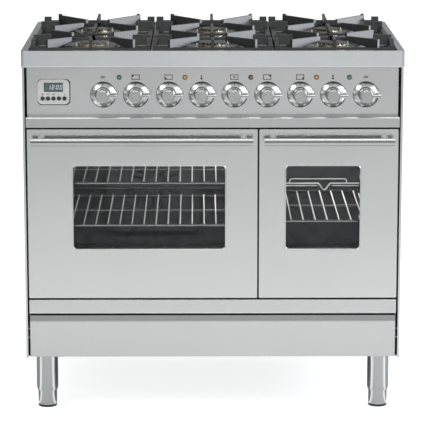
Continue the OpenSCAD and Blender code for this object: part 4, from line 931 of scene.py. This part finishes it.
def along_rail(*points):
    """Points given as (x, height over the rail)."""
    return [Vector((x, RAIL_Y, RAIL_Z + z)) for x, z in points]


dips = [DIP_X + DIP_HALF * (k / 12 - 1) for k in range(25)]
dipped = [(x, -DIP * (0.5 + 0.5 * math.cos(math.pi * (x - DIP_X) / DIP_HALF))) for x in dips]
thin("shelf_stop_wires", "casing", rail_steel, rod,
     (along_rail((RAIL_X0, 0.0), *dipped, (RAIL_X1, 0.0)), 0.0020),
     (along_rail(*HOOK), 0.0016),
     (along_rail((RAIL_X0, -LOWER), (DIP_X - DIP_HALF - DIP_GAP, -LOWER)), 0.0016),
     (along_rail((DIP_X + DIP_HALF + DIP_GAP, -LOWER), (RAIL_X1, -LOWER)), 0.0012))

# Painted shadow: a dark outline round the clock case, set a little right and down, stands in for its shadow
# on the panel
low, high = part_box("clock_case")
thin("clock_shadow_outline", "casing", knob_shade_ring, rim,
     (low.x + 0.0008, high.x + 0.0010, low.z - 0.0010, high.z - 0.0008, 0.009,
      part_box("control_panel")[0].y - 0.0004, 0.0013))

low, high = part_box("side_panels")
TRIM_W = 0.0048
thin("corner_trims", "casing", steel_door, strip,
     *((x0, x1, low.y - 0.0016, low.y + 0.0014, low.z, high.z, 0.0006)
       for x0, x1 in ((low.x, low.x + TRIM_W), (high.x - TRIM_W, high.x))))

low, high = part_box("drawer_front")
LIP_H, LIP_SET = 0.0335, 0.013
lip_z, back = high.z - LIP_H, low.y + LIP_SET
thin("drawer_fold", "drawer", shaded_bead_steel, fold,
     (low.x + 0.0008, high.x - 0.0008, low.y + 0.0008, lip_z + 0.0014))
# Painted shade: a black strip under the lip and another in the gap above the drawer stand in for the shade
# there
thin("drawer_gap_shade_strip", "drawer", gap_shade_black, strip,
     (low.x + 0.0015, high.x - 0.0015, back - 0.0016, back + 0.0002, lip_z - 0.0075, lip_z - 0.0004))
thin("drawer_upper_gap_shade", "drawer", gap_shade_black, strip,
     (low.x + 0.002, high.x - 0.002, low.y + 0.0004, high.y - 0.0006, high.z - 0.0006, high.z + 0.0026))

# Rubber soles under the feet
SOLE = [(0, 0), (20.6, 0), (22.2, 0.8), (22.75, 2.2), (22.85, 5.2), (22.4, 6.4), (21.0, 6.8), (0, 6.8)]
for corner in ("front_left", "front_right", "rear_left", "rear_right"):
    low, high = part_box(f"foot_{corner}")
    centre = Vector(((low.x + high.x) / 2, (low.y + high.y) / 2, 0))
    bm = bmesh.new()
    revolve(bm, SOLE, centre, Vector((0, 0, 1)), 64)
    piece(f"sole_{corner}", bm, f"foot_{corner}", [rubber])
